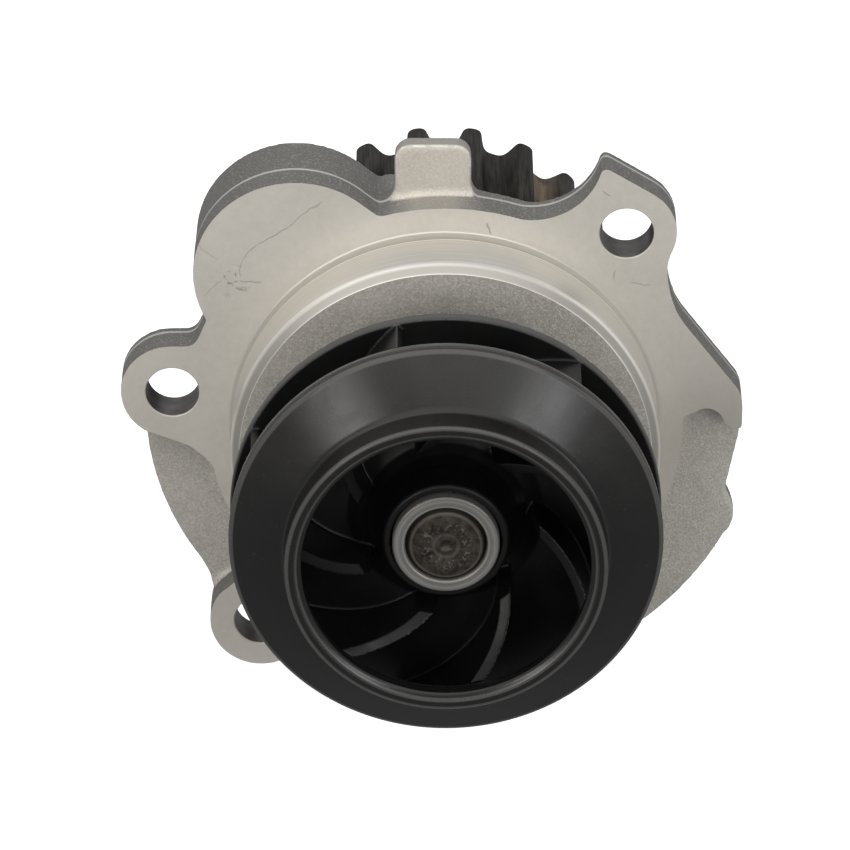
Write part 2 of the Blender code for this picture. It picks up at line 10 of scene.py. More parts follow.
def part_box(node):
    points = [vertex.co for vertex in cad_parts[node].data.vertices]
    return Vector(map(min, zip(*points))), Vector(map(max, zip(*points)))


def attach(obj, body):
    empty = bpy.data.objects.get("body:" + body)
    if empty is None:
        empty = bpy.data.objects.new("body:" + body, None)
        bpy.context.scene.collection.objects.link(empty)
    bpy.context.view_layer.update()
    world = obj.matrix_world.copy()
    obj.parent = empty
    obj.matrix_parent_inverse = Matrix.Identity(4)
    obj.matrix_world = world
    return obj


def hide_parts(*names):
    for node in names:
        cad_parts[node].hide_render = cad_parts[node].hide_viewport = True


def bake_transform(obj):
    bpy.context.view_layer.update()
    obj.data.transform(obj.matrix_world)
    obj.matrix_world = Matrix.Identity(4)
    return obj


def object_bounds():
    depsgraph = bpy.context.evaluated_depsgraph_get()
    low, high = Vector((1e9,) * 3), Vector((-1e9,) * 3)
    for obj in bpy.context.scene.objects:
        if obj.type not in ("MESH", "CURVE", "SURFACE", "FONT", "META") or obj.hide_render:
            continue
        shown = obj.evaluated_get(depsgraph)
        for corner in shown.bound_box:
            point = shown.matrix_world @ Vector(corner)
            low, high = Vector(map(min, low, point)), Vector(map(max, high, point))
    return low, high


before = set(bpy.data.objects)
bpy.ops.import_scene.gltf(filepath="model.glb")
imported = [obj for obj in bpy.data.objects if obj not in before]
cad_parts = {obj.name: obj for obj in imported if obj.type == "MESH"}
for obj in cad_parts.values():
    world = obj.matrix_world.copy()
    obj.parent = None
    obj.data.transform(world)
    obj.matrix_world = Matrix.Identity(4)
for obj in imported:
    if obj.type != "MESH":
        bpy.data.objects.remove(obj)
cad_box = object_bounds()
scene = bpy.context.scene
MM = 0.001

# The table, the camera and the lights. The pump lies with its axis level in front of a camera that looks
# down on the impeller. A wide soft light hangs over it, one stands on each side of the camera, and weaker
# ones stand on the right and behind. The room is paler above the table than below it.

LOOK_DOWN = radians(28)
CAMERA_DISTANCE = 0.9
CAMERA_ASIDE = -3.18 * MM
camera_data = bpy.data.cameras.new("camera")
camera_data.lens = 242.4
camera_data.sensor_width = 36
camera_data.clip_start = 0.05
camera = bpy.data.objects.new("camera", camera_data)
camera.location = (CAMERA_ASIDE, -CAMERA_DISTANCE * cos(LOOK_DOWN), CAMERA_DISTANCE * sin(LOOK_DOWN))
camera.rotation_euler = (pi / 2 - LOOK_DOWN, 0, 0)
scene.collection.objects.link(camera)
scene.camera = camera


def soft_light(name, place, size, power, colour=(1, 1, 1)):
    """A rectangular light that points at the middle of the pump."""
    data = bpy.data.lights.new(name, "AREA")
    data.shape = "RECTANGLE"
    data.size, data.size_y = size
    data.energy = power
    data.color = colour
    light = bpy.data.objects.new(name, data)
    light.location = place
    light.rotation_euler = (Vector() - Vector(place)).to_track_quat("-Z", "Y").to_euler()
    scene.collection.objects.link(light)


soft_light("overhead_light", (-0.05, -0.11, 0.22), (0.56, 0.30), 0.54, (1.0, 0.985, 0.96))
soft_light("left_front_light", (-0.66, -1.12, 0.30), (0.32, 0.5), 3.0, (1.0, 0.97, 0.93))
soft_light("right_front_light", (0.66, -1.12, 0.30), (0.32, 0.5), 3.0)
soft_light("right_light", (1.0, 0.1, 0.35), (0.3, 0.8), 1.0)
soft_light("back_light", (0, 1.0, 0.6), (0.8, 0.4), 0.55)

scene.world = bpy.data.worlds.new("studio")
scene.world.use_nodes = True
room = scene.world.node_tree
room.nodes["Background"].inputs["Color"].default_value = (1, 1, 1, 1)
towards = room.nodes.new("ShaderNodeSeparateXYZ")
room.links.new(room.nodes.new("ShaderNodeTexCoord").outputs["Generated"], towards.inputs[0])
room_height = room.nodes.new("ShaderNodeMapRange")
room.links.new(towards.outputs["Z"], room_height.inputs["Value"])
for name, value in (("From Min", -0.5), ("From Max", 0.2), ("To Min", 0.29), ("To Max", 0.39)):
    room_height.inputs[name].default_value = value
room.links.new(room_height.outputs["Result"], room.nodes["Background"].inputs["Strength"])
scene.view_settings.view_transform = "Standard"

floor_mesh = bpy.data.meshes.new("floor")
floor_shape = bmesh.new()
bmesh.ops.create_grid(floor_shape, x_segments=1, y_segments=1, size=6)
bmesh.ops.translate(floor_shape, verts=floor_shape.verts, vec=(0, 0, cad_box[0].z))
floor_shape.to_mesh(floor_mesh)
floor_shape.free()
floor = bpy.data.objects.new("floor", floor_mesh)
scene.collection.objects.link(floor)
table_paint = bpy.data.materials.new("table_paint")
table_paint.use_nodes = True
table_shader = table_paint.node_tree.nodes["Principled BSDF"]
table_shader.inputs["Base Color"].default_value = (0.93, 0.93, 0.93, 1)
table_shader.inputs["Roughness"].default_value = 0.9
table_shader.inputs["Emission Color"].default_value = (1, 1, 1, 1)
table_shader.inputs["Emission Strength"].default_value = 0.75
floor_mesh.materials.append(table_paint)
floor.visible_diffuse = False
floor.visible_glossy = False
floor.visible_shadow = False


# Housing casting. One gravity-cast aluminium body: a flange with three ears and a tab, a round lobe for
# leaked coolant, a spigot in front and the bearing boss behind, stiffened by webs. It is cast a little
# oversize and then machined, so the blank is shaped first and the flange, spigot and bores are cut after.

FLANGE_DEPTH = 8.5 * MM
EAR_DEPTH = 6.8 * MM
PLATE_FRONT = 4.8 * MM
CUT_ALLOWANCE = 0.7 * MM
LOBE = Vector((-23.2 * MM, 26.2 * MM))
LOBE_RADIUS = 16.0 * MM
LOBE_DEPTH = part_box("reservoir_cap")[1].y + 0.4 * MM
EARS = {
    "left": (Vector((-42.8 * MM, 5.8 * MM)), 8.1 * MM),
    "right": (Vector((28.0 * MM, 33.5 * MM)), 7.8 * MM),
    "lower": (Vector((-29.5 * MM, -35.4 * MM)), 8.1 * MM),
}
SPIGOT_RADIUS = 33.5 * MM
SPIGOT_NOSE = -11.3 * MM
NOSE_RADIUS = 31.95 * MM
CUP_SEAT = -8.5 * MM
BOSS_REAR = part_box("pump_housing")[1].y
BEARING_RADIUS = 15.0 * MM
SEAT_RADIUS = BEARING_RADIUS + 0.3 * MM
BOLT_HOLE_RADIUS = 4.2 * MM
SPOT_FACE = 6.6 * MM
SPOT_FACE_RADIUS = 7.6 * MM
AXIS = Vector((0, 0))


def arc(centre, radius, start, end, steps):
    """Points round a centre, from one angle in degrees to another."""
    turn = [radians(start + (end - start) * i / steps) for i in range(steps + 1)]
    return [(centre[0] + radius * cos(a), centre[1] + radius * sin(a)) for a in turn]


def mm(*points):
    return [(x * MM, z * MM) for x, z in points]


def drawn(corners, way):
    """A prism: a flat face through the corners, drawn out along a vector. Also gives the drawn-out end."""
    bm = bmesh.new()
    face = bm.faces.new([bm.verts.new(corner) for corner in corners])
    made = bmesh.ops.extrude_face_region(bm, geom=[face])["geom"]
    moved = [item for item in made if isinstance(item, bmesh.types.BMVert)]
    bmesh.ops.translate(bm, verts=moved, vec=way)
    return bm, moved


def slab(outline, front, rear, draft=0.0):
    """A cast plate: an outline in XZ drawn along Y, its rear end smaller by the draft."""
    bm, moved = drawn([(x, front, z) for x, z in outline], (0, rear - front, 0))
    if draft:
        middle = sum((v.co for v in moved), Vector()) / len(moved)
        share = 1 - draft / max((v.co - middle).length for v in moved)
        bmesh.ops.scale(bm, vec=(share, 1, share), space=Matrix.Translation(-middle), verts=moved)
    bmesh.ops.recalc_face_normals(bm, faces=bm.faces)
    return bm


def turned(profile, steps, closed=True):
    """A piece turned round the pump axis from (radius, y) points. An open profile ends on the axis."""
    bm = bmesh.new()
    corners = [bm.verts.new((radius, y, 0)) for radius, y in profile]
    edges = [bm.edges.new(pair) for pair in zip(corners, corners[1:])]
    if closed:
        edges.append(bm.edges.new((corners[-1], corners[0])))
    bmesh.ops.spin(bm, geom=corners + edges, axis=(0, 1, 0), angle=2 * pi, steps=steps, use_merge=True)
    bmesh.ops.remove_doubles(bm, verts=bm.verts, dist=1e-7)
    bmesh.ops.recalc_face_normals(bm, faces=bm.faces)
    return bm


def shift(bm, x, z):
    bmesh.ops.translate(bm, verts=bm.verts, vec=(x, 0, z))
    return bm


def joined(*shapes):
    """Several closed shapes in one bmesh."""
    whole = bmesh.new()
    for shape in shapes:
        kept = bpy.data.meshes.new("shape")
        shape.to_mesh(kept)
        shape.free()
        whole.from_mesh(kept)
        bpy.data.meshes.remove(kept)
    return whole


def new_piece(name, bm):
    """An object from a bmesh: a cutter or a piece."""
    mesh = bpy.data.meshes.new(name)
    bm.to_mesh(mesh)
    bm.free()
    item = bpy.data.objects.new(name, mesh)
    scene.collection.objects.link(item)
    return item


def settle(item):
    """Replaces the mesh by what its modifiers make of it, and removes the cutters that they used."""
    used = {m.object for m in item.modifiers if m.type == "BOOLEAN"}
    bpy.context.view_layer.update()
    made = bpy.data.meshes.new_from_object(item.evaluated_get(bpy.context.evaluated_depsgraph_get()))
    item.modifiers.clear()
    item.data = made
    for other in used:
        bpy.data.objects.remove(other, do_unlink=True)


def cut(item, bm):
    """Cuts a closed shape out of a piece. The cut is made when the piece is settled."""
    modifier = item.modifiers.new("cut", "BOOLEAN")
    modifier.object = new_piece("cutter", bm)
    modifier.operation = "DIFFERENCE"
    modifier.solver = "MANIFOLD"


def soften_skin(item, voxel, rounds, share):
    """Fuses the shapes of a piece, rounds its corners a little and thins it to a share of its faces."""
    fused = item.modifiers.new("skin", "REMESH")
    fused.mode = "VOXEL"
    fused.voxel_size = voxel
    fillets = item.modifiers.new("fillets", "SMOOTH")
    fillets.factor = 0.5
    fillets.iterations = rounds
    thin = item.modifiers.new("thin", "DECIMATE")
    thin.ratio = share
    settle(item)


def smooth(item, angle=30):
    item.data.shade_smooth()
    item.data.set_sharp_from_angle(angle=radians(angle))


def sealing_outline():
    """The front of the flange, clockwise from the left ear: lobe, top edge, right ear, wing and lower ear."""
    points = arc(*EARS["left"], 237, 90, 24)
    points += mm((-40.4, 13.9), (-39.5, 14.1), (-38.8, 14.8), (-38.3, 15.9), (-37.8, 17.2))
    points += arc(LOBE, LOBE_RADIUS, 209, 47.5, 40)
    points += arc(AXIS, 37.8 * MM, 105.8, 73.2, 16)
    points += arc((13.3 * MM, 46.8 * MM), 11.0 * MM, 262, 338, 18)
    points += mm((24.1, 44.4), (24.6, 44.6), (25.3, 44.3))
    points += arc(*EARS["right"], 60, -29, 14)
    points += mm((34.5, 28.2), (34.4, 27.0), (34.6, 25.0), (35.1, 22.5), (36.0, 19.9), (37.2, 17.9))
    points += mm((45.9, 6.4), (46.5, 5.0), (46.7, 3.2), (46.7, -0.9))
    points += arc((41.0 * MM, 0.1 * MM), 2.85 * MM, 0, 138, 10)
    points += arc(AXIS, 37.4 * MM, 2.5, -122, 48)
    points += arc(*EARS["lower"], -52, -218, 26)
    points += arc(AXIS, 37.4 * MM, -140, -166.5, 10)
    points += mm((-36.5, -7.4), (-37.6, -6.1), (-39.0, -4.7), (-40.6, -3.5))
    return points


def cast_outline():
    """The plate behind the sealing face, anticlockwise from the left ear, with the tab at the top."""
    points = arc(AXIS, 47.4 * MM, 176, 214.5, 20)
    points += mm((-38.4, -28.1), (-37.7, -29.6), (-37.3, -31.6))
    points += arc(EARS["lower"][0], 8.0 * MM, 160, 296, 20)
    points += arc(AXIS, 49.82 * MM, 240, 333.5, 40)
    points += mm((45.4, -21.4), (45.9, -20.0), (46.1, -18.6), (46.0, -17.2), (45.5, -15.7), (44.9, -14.5))
    points += mm((44.7, -13.6), (46.6, -3.9), (46.5, 3.0), (39.0, 12.0), (33.0, 18.0))
    points += arc(AXIS, 37.5 * MM, 58, 77, 10)
    points += mm((4.9, 37.4), (4.3, 38.3), (4.0, 39.4))
    points += arc((1.5 * MM, 43.8 * MM), 2.5 * MM, 0, 90, 8)
    points += arc((-5.4 * MM, 43.8 * MM), 2.5 * MM, 90, 180, 8)
    points += mm((-7.9, 39.2), (-8.1, 38.2), (-8.7, 37.2), (-12.0, 35.0), (-30.0, 12.0))
    return points


def lobe_outline(shrink):
    points = arc(LOBE, LOBE_RADIUS - shrink, 209, 47.5, 40)
    points += arc(AXIS, 37.7 * MM - shrink, 105.8, 101.5, 4)
    points += mm((-7.6, 14.0), (-24.0, 8.0))
    return points


WEB_THICKNESS = 5.0 * MM


def web(end):
    """A stiffening web behind the flange, from the boss out to a place near the edge."""
    reach = end.length / MM
    side = mm((10, 6), (reach, 6), (reach, 9), (21.5, 20.5), (10, 20.5))
    bm, _ = drawn([(out, y, -WEB_THICKNESS / 2) for out, y in side], (0, 0, WEB_THICKNESS))
    turn = Matrix.Rotation(-atan2(end.y, end.x), 3, "Y")
    bmesh.ops.rotate(bm, verts=bm.verts, matrix=turn)
    bmesh.ops.recalc_face_normals(bm, faces=bm.faces)
    return bm


spigot_blank = [(0, 6 * MM), (34.6 * MM, 6 * MM), (34.6 * MM, SPIGOT_NOSE), (0, SPIGOT_NOSE)]
boss_blank = [
    *mm((0, 2), (36.9, 2), (36.9, 8.5), (26.0, 8.5), (22.5, 10.5), (20.8, 15.0)),
    (19.5 * MM, BOSS_REAR - 1 * MM), (19.0 * MM, BOSS_REAR + CUT_ALLOWANCE), (0, BOSS_REAR + CUT_ALLOWANCE),
]
blank = joined(
    slab(sealing_outline(), -CUT_ALLOWANCE, EAR_DEPTH + 0.1 * MM),
    slab(cast_outline(), PLATE_FRONT, FLANGE_DEPTH - 0.05 * MM, 0.2 * MM),
    slab(lobe_outline(0.12 * MM), -CUT_ALLOWANCE, PLATE_FRONT),
    slab(lobe_outline(0), PLATE_FRONT - 0.2 * MM, LOBE_DEPTH + 0.05 * MM, 0.3 * MM),
    turned(spigot_blank, 128, closed=False),
    turned(boss_blank, 96, closed=False),
    *(web(0.84 * ear) for ear, _ in EARS.values()),
    web(Vector((33.0 * MM, -27.0 * MM))),
)
casting = new_piece("housing_casting", blank)
soften_skin(casting, 0.45 * MM, 5, 0.3)

# The lathe and the mill: one cut faces the flange and turns the spigot with its seal groove, and the
# others open the bores, the bolt holes with their seats, and the reservoir behind the lobe.
FAR = 80 * MM
facing = [
    *mm((34.0, 0), (34.0, -0.25), (33.85, -0.4), (32.7, -0.5), (32.7, -1.6), (33.3, -1.75)),
    (SPIGOT_RADIUS, -1.95 * MM), (SPIGOT_RADIUS, -9.5 * MM),
    *mm((33.3, -10.1), (33.05, -10.4), (32.2, -11.1)), (NOSE_RADIUS, -11.5 * MM), (NOSE_RADIUS, -20 * MM),
    (FAR, -20 * MM), (FAR, 0),
]
bores = [
    *mm((0, -14), (25.4, -14), (25.2, -11.1), (24.2, -10.6), (19.9, -8.7)), (19.5 * MM, CUP_SEAT),
    (15.7 * MM, CUP_SEAT), (SEAT_RADIUS, CUP_SEAT + 0.4 * MM), (SEAT_RADIUS, -1.5 * MM),
    *mm((13.0, -1.5), (13.0, 3.7)), (SEAT_RADIUS, 3.7 * MM), (SEAT_RADIUS, BOSS_REAR - 0.7 * MM),
    (16.0 * MM, BOSS_REAR), (FAR / 3, BOSS_REAR), (FAR / 3, BOSS_REAR + 6 * MM), (0, BOSS_REAR + 6 * MM),
]
bolt_hole = [
    *mm((0, -3), (4.5, -3), (4.5, -0.1), (4.35, 0)),
    (BOLT_HOLE_RADIUS, 0.15 * MM), (BOLT_HOLE_RADIUS, SPOT_FACE - 0.3 * MM),
    (4.5 * MM, SPOT_FACE), (7.4 * MM, SPOT_FACE), *mm((7.5, 13), (0, 13)),
]
reservoir = [
    *mm((0, 3.6), (11.8, 3.6), (12.6, 4.4)), (12.6 * MM, LOBE_DEPTH - 0.3 * MM),
    (13.0 * MM, LOBE_DEPTH), (13.4 * MM, LOBE_DEPTH + 0.4 * MM), *mm((13.4, 20), (0, 20)),
]
cut(casting, turned(facing, 192))
cut(casting, turned(bores, 128, closed=False))
for place, _ in EARS.values():
    cut(casting, shift(turned(bolt_hole, 64, closed=False), *place))
cut(casting, shift(turned(reservoir, 96, closed=False), *LOBE))

# A drilled passage drains the space behind the seal into the reservoir.
DRAIN_RADIUS = 1.5 * MM
outwards = Vector((LOBE.x, 0, LOBE.y)).normalized()
drain_start = outwards * 11.0 * MM + Vector((0, 1 * MM, 0))
drill_way = outwards * 25.5 * MM + Vector((0, 6 * MM, 0)) - drain_start
drill_turn = drill_way.to_track_quat("Z", "Y").to_matrix().to_4x4()
drain = bmesh.new()
bmesh.ops.create_cone(
    drain, cap_ends=True, segments=24, radius1=DRAIN_RADIUS, radius2=DRAIN_RADIUS, depth=drill_way.length,
    matrix=Matrix.Translation(drain_start + drill_way / 2) @ drill_turn,
)
cut(casting, drain)
settle(casting)


def start_material(name, colour, metallic, roughness):
    """A node material with its shader and its Object coordinates."""
    material = bpy.data.materials.new(name)
    material.use_nodes = True
    tree = material.node_tree
    shader = tree.nodes["Principled BSDF"]
    shader.inputs["Base Color"].default_value = (*colour, 1)
    shader.inputs["Metallic"].default_value = metallic
    shader.inputs["Roughness"].default_value = roughness
    coordinates = tree.nodes.new("ShaderNodeTexCoord")
    return material, tree, shader, coordinates.outputs["Object"]


def node(tree, kind, sources=(), **settings):
    """A node with its inputs joined to sockets or set to values, by input name or number."""
    made = tree.nodes.new("ShaderNode" + kind)
    for name, value in settings.items():
        setattr(made, name, value)
    for key, source in dict(sources).items():
        if isinstance(source, bpy.types.NodeSocket):
            tree.links.new(source, made.inputs[key])
        else:
            made.inputs[key].default_value = source
    return made


def stretch(tree, where, scale):
    """Coordinates for a pattern that is drawn out along the axes whose scale is small."""
    return node(tree, "Mapping", {"Vector": where, "Scale": scale}).outputs[0]


def noise(tree, where, scale, detail=2.0, rough=0.5, distortion=0.0):
    made = node(tree, "TexNoise", {
        "Vector": where, "Scale": scale, "Detail": detail, "Roughness": rough, "Distortion": distortion,
    })
    return made.outputs["Fac"]


def band(tree, value, low, high, start=0.0, end=1.0):
    """A value moved from one range to another, and held inside it."""
    sources = {"Value": value, "From Min": low, "From Max": high, "To Min": start, "To Max": end}
    return node(tree, "MapRange", sources).outputs["Result"]


def maths(tree, operation, first, second=0.0):
    return node(tree, "Math", {0: first, 1: second}, operation=operation).outputs[0]


def times(tree, first, *others):
    """The product of sockets and values."""
    for other in others:
        first = maths(tree, "MULTIPLY", first, other)
    return first


def close_to(tree, value, middle, inner, outer, most=1.0):
    """Its most where a value lies within inner of the middle, falling to 0 at outer."""
    off = maths(tree, "ABSOLUTE", maths(tree, "SUBTRACT", value, middle))
    return band(tree, off, inner, outer, most, 0)


def tint(tree, share, first, second):
    """One colour where the share is 0 and another where it is 1."""
    made = node(tree, "Mix", {0: share}, data_type="RGBA")
    for slot, value in ((6, first), (7, second)):
        if isinstance(value, bpy.types.NodeSocket):
            tree.links.new(value, made.inputs[slot])
        else:
            made.inputs[slot].default_value = (*value, 1)
    return made.outputs[2]


def bump(tree, shader, height, depth, strength):
    made = node(tree, "Bump", {"Height": height, "Distance": depth, "Strength": strength})
    tree.links.new(made.outputs[0], shader.inputs["Normal"])


def join_inputs(tree, shader, **sockets):
    for name, socket in sockets.items():
        tree.links.new(socket, shader.inputs[name.replace("_", " ")])


def split(tree, vector):
    """The X, Y and Z of a vector."""
    return node(tree, "SeparateXYZ", {0: vector}).outputs[:3]


def distance_from(tree, where, place=(0, 0)):
    """How far a point is, seen along the pump axis, from a place in XZ."""
    x, _, z = split(tree, where)
    aside = maths(tree, "SUBTRACT", x, place[0])
    up = maths(tree, "SUBTRACT", z, place[1])
    return maths(tree, "SQRT", maths(tree, "ADD", times(tree, aside, aside), times(tree, up, up)))


def ring_noise(tree, where, scale, rough):
    """Noise that runs round the pump axis, as a lathe's marks do."""
    place = node(tree, "CombineXYZ", {0: distance_from(tree, where), 1: split(tree, where)[1]})
    return noise(tree, place.outputs[0], scale, 2, rough)


PARTING_LINE = PLATE_FRONT + 0.15 * MM
TAB_MIDDLE = (-2.0 * MM, 43.0 * MM)


def as_cast():
    """Die skin: grey, pebbled by the mould coating, brighter where the parting line was trimmed."""
    material, tree, shader, where = start_material("as_cast_aluminium", (0.40, 0.385, 0.36), 0.35, 0.55)
    _, along, up = split(tree, where)
    grains = noise(tree, where, 3400, 3, 0.65)
    pebbles = node(tree, "TexVoronoi", {"Vector": where, "Scale": 2600}).outputs["Distance"]
    cloud = noise(tree, where, 70, 4, 0.6)
    stain = band(tree, noise(tree, where, 160, 5, 0.65), 0.55, 0.75, 0, 0.3)
    colour = tint(tree, band(tree, cloud, 0.3, 0.7), (0.49, 0.465, 0.42), (0.61, 0.58, 0.53))
    colour = tint(tree, band(tree, grains, 0.48, 0.68, 0, 0.7), colour, (0.82, 0.795, 0.745))
    colour = tint(tree, band(tree, grains, 0.34, 0.45, 0.3, 0), colour, (0.28, 0.27, 0.245))
    colour = tint(tree, stain, colour, (0.30, 0.285, 0.26))
    on_tab = band(tree, distance_from(tree, where, TAB_MIDDLE), 6.0 * MM, 10.0 * MM, 1, 0)
    # Painted light: the front of the tab is painted paler, as if more strongly lit at the top of the flange.
    colour = tint(tree, times(tree, on_tab, 0.5), colour, (0.74, 0.69, 0.61))

    # Painted shade: the walls along the axis are painted darker than the faces, less so round the tab and
    # behind the lobe; their sparkle is the die skin's own grain.
    normal = node(tree, "NewGeometry").outputs["Normal"]
    facing_out = maths(tree, "ABSOLUTE", split(tree, normal)[1])
    sideways = band(tree, facing_out, 0.3, 0.6, 1, 0)
    sparkle = band(tree, noise(tree, where, 2600, 1, 0.5), 0.56, 0.66, 0, 0.55)
    wall_shade_tone = tint(tree, sparkle, (0.115, 0.114, 0.11), (0.36, 0.355, 0.34))
    behind_lobe = band(tree, along, LOBE_DEPTH - 1 * MM, LOBE_DEPTH + 2 * MM, 0.88, 0.35)
    painted_wall_shade = times(tree, sideways, behind_lobe, band(tree, on_tab, 0, 1, 1, 0.6))
    colour = tint(tree, painted_wall_shade, colour, wall_shade_tone)

    # Bright metal shows along the trimmed parting line and on the ragged flash over the tab.
    trimmed = close_to(tree, along, PARTING_LINE, 0.14 * MM, 0.42 * MM, 0.75)
    colour = tint(tree, times(tree, trimmed, sideways), colour, (0.75, 0.73, 0.69))
    rounded = times(tree, band(tree, facing_out, 0.3, 0.5), band(tree, facing_out, 0.88, 0.97, 1, 0))
    ragged = band(tree, noise(tree, where, 560, 3, 0.6), 0.40, 0.52, 0.2, 1)
    flash = times(tree, rounded, ragged, on_tab, band(tree, up, 41 * MM, 43 * MM))
    colour = tint(tree, flash, colour, (0.95, 0.93, 0.89))
    relief = maths(tree, "ADD", times(tree, grains, 0.7), times(tree, pebbles, 0.5))
    join_inputs(tree, shader, Base_Color=colour, Roughness=band(tree, grains, 0.3, 0.7, 0.42, 0.6))
    bump(tree, shader, relief, 0.10 * MM, 0.75)
    return material


def as_drilled():
    """The walls of the bolt holes: drilled and reamed, with marks round the hole, and painted dark as the
    shade inside the holes.
    """
    material, tree, shader, where = start_material("drilled_aluminium", (0.16, 0.15, 0.135), 0.7, 0.42)
    marks = noise(tree, stretch(tree, where, (0.15, 1, 0.15)), 2600, 2, 0.6)
    cloud = noise(tree, where, 300, 3, 0.6)
    colour = tint(tree, band(tree, cloud, 0.3, 0.7), (0.07, 0.065, 0.06), (0.17, 0.16, 0.148))
    join_inputs(tree, shader, Base_Color=colour, Roughness=band(tree, marks, 0.3, 0.7, 0.32, 0.46))
    bump(tree, shader, marks, 0.01 * MM, 0.3)
    return material


# Handling scratches on the sealing face: from and to (X, Z) in mm, half width in mm, strength
SCRATCHES = (
    ((-18, 40), (-23, 36), 0.16, 0.45), ((-23, 36), (-28, 33), 0.16, 0.5),
    ((-28, 33), (-30, 30.5), 0.16, 0.45), ((-30, 30.5), (-31, 27.5), 0.14, 0.35),
    ((-31, 26.8), (-27.5, 26), 0.18, 0.5), ((-31.5, 25.6), (-29.3, 25), 0.14, 0.45),
    ((-37, 33), (-34, 30), 0.14, 0.3), ((-36, 24), (-33.5, 26.5), 0.14, 0.3),
    ((7.6, 36.6), (8.6, 34.8), 0.2, 0.6), ((25.4, 42.3), (26.6, 41), 0.14, 0.5),
    ((30, 26.4), (33, 25.8), 0.12, 0.55), ((27.5, 28.6), (27.4, 27), 0.12, 0.5),
)
STAIN_MIDDLE = (-33.0 * MM, 25.5 * MM)
FLY_CUTTER_CENTRE = (-0.07, -0.16)


def scratch(tree, across, up, start, end, width):
    """A thin line from one point of the sealing face to another, both in millimetres."""
    along = (Vector(end) - Vector(start)).normalized()
    run = maths(tree, "ADD", times(tree, across, along.x), times(tree, up, along.y))
    off = maths(tree, "SUBTRACT", times(tree, up, along.x), times(tree, across, along.y))
    first, last = Vector(start).dot(along) * MM, Vector(end).dot(along) * MM
    level = (start[1] * along.x - start[0] * along.y) * MM
    line = close_to(tree, off, level, 0.3 * width, width)
    begun = band(tree, run, first - 0.2 * MM, first + 0.3 * MM)
    ended = band(tree, run, last - 0.3 * MM, last + 0.2 * MM, 1, 0)
    return times(tree, line, begun, ended)


def as_milled():
    """The sealing face: fly-cut and satin, with scratches, a stained patch on the lobe and small nicks."""
    material, tree, shader, where = start_material("milled_aluminium", (0.63, 0.60, 0.545), 0.35, 0.52)
    sweep = node(tree, "CombineXYZ", {0: distance_from(tree, where, FLY_CUTTER_CENTRE)}).outputs[0]
    tracks = noise(tree, sweep, 2600, 3, 0.6)
    cloud = noise(tree, where, 60, 5, 0.6)
    mottle = noise(tree, where, 700, 4, 0.7)
    colour = tint(tree, band(tree, cloud, 0.3, 0.7), (0.61, 0.578, 0.518), (0.68, 0.648, 0.592))
    colour = tint(tree, band(tree, mottle, 0.35, 0.7, 0, 0.35), colour, (0.77, 0.745, 0.70))
    swirl = node(tree, "TexNoise", {"Vector": where, "Scale": 170, "Detail": 4}).outputs["Color"]
    swirl = node(tree, "VectorMath", {0: swirl, "Scale": 2.6 * MM}, operation="SCALE").outputs[0]
    wavering = node(tree, "VectorMath", {0: where, 1: swirl}, operation="ADD").outputs[0]
    across, _, up = split(tree, wavering)
    marks = 0.0
    for start, end, width, strength in SCRATCHES:
        line = scratch(tree, across, up, start, end, width * MM)
        marks = maths(tree, "MAXIMUM", marks, times(tree, line, strength))
    near_stain = band(tree, distance_from(tree, where, STAIN_MIDDLE), 0.8 * MM, 3.6 * MM, 1, 0)
    spots = times(tree, near_stain, band(tree, noise(tree, where, 900, 3, 0.7), 0.56, 0.66), 0.7)
    nicks = band(tree, noise(tree, where, 520, 3, 0.7), 0.72, 0.78, 0, 0.5)
    # Painted shade: the sealing face is darkened towards its lower right, on the wing.
    painted_shade_lower_right = times(tree, band(tree, across, 28 * MM, 42 * MM), band(tree, up, 2 * MM, 18 * MM, 1, 0), 0.5)
    colour = tint(tree, painted_shade_lower_right, colour, (0.36, 0.34, 0.30))
    colour = tint(tree, marks, colour, (0.22, 0.21, 0.20))
    colour = tint(tree, spots, colour, (0.12, 0.115, 0.12))
    colour = tint(tree, nicks, colour, (0.34, 0.32, 0.28))
    join_inputs(tree, shader, Base_Color=colour, Roughness=band(tree, tracks, 0.3, 0.7, 0.48, 0.58))
    bump(tree, shader, maths(tree, "SUBTRACT", tracks, marks), 0.012 * MM, 0.35)
    return material


def as_turned(name, light, dark, rough=0.26, lines=3200, depth=0.02 * MM, metallic=0.95, light_and_shade_bands=()):
    """A lathe-turned surface with fine rings. Bands hold (place along the axis, half width, tone), in mm:
    rings of painted highlight where the tone is pale and of painted shade where it is dark.
    """
    material, tree, shader, where = start_material(name, light, metallic, rough)
    rings = ring_noise(tree, where, lines, 0.7)
    cloud = noise(tree, where, 120, 4, 0.6)
    colour = tint(tree, band(tree, rings, 0.3, 0.7), dark, light)
    colour = tint(tree, band(tree, cloud, 0.45, 0.8, 0, 0.35), colour, dark)
    for place, half_width, tone in light_and_shade_bands:
        along = split(tree, where)[1]
        near = close_to(tree, along, place * MM, 0.5 * half_width * MM, half_width * MM, 0.9)
        colour = tint(tree, near, colour, tone)
    roughness = band(tree, rings, 0.3, 0.7, rough - 0.05, rough + 0.1)
    join_inputs(tree, shader, Base_Color=colour, Roughness=roughness)
    bump(tree, shader, rings, depth, 0.6)
    return material


casting.data.materials.clear()
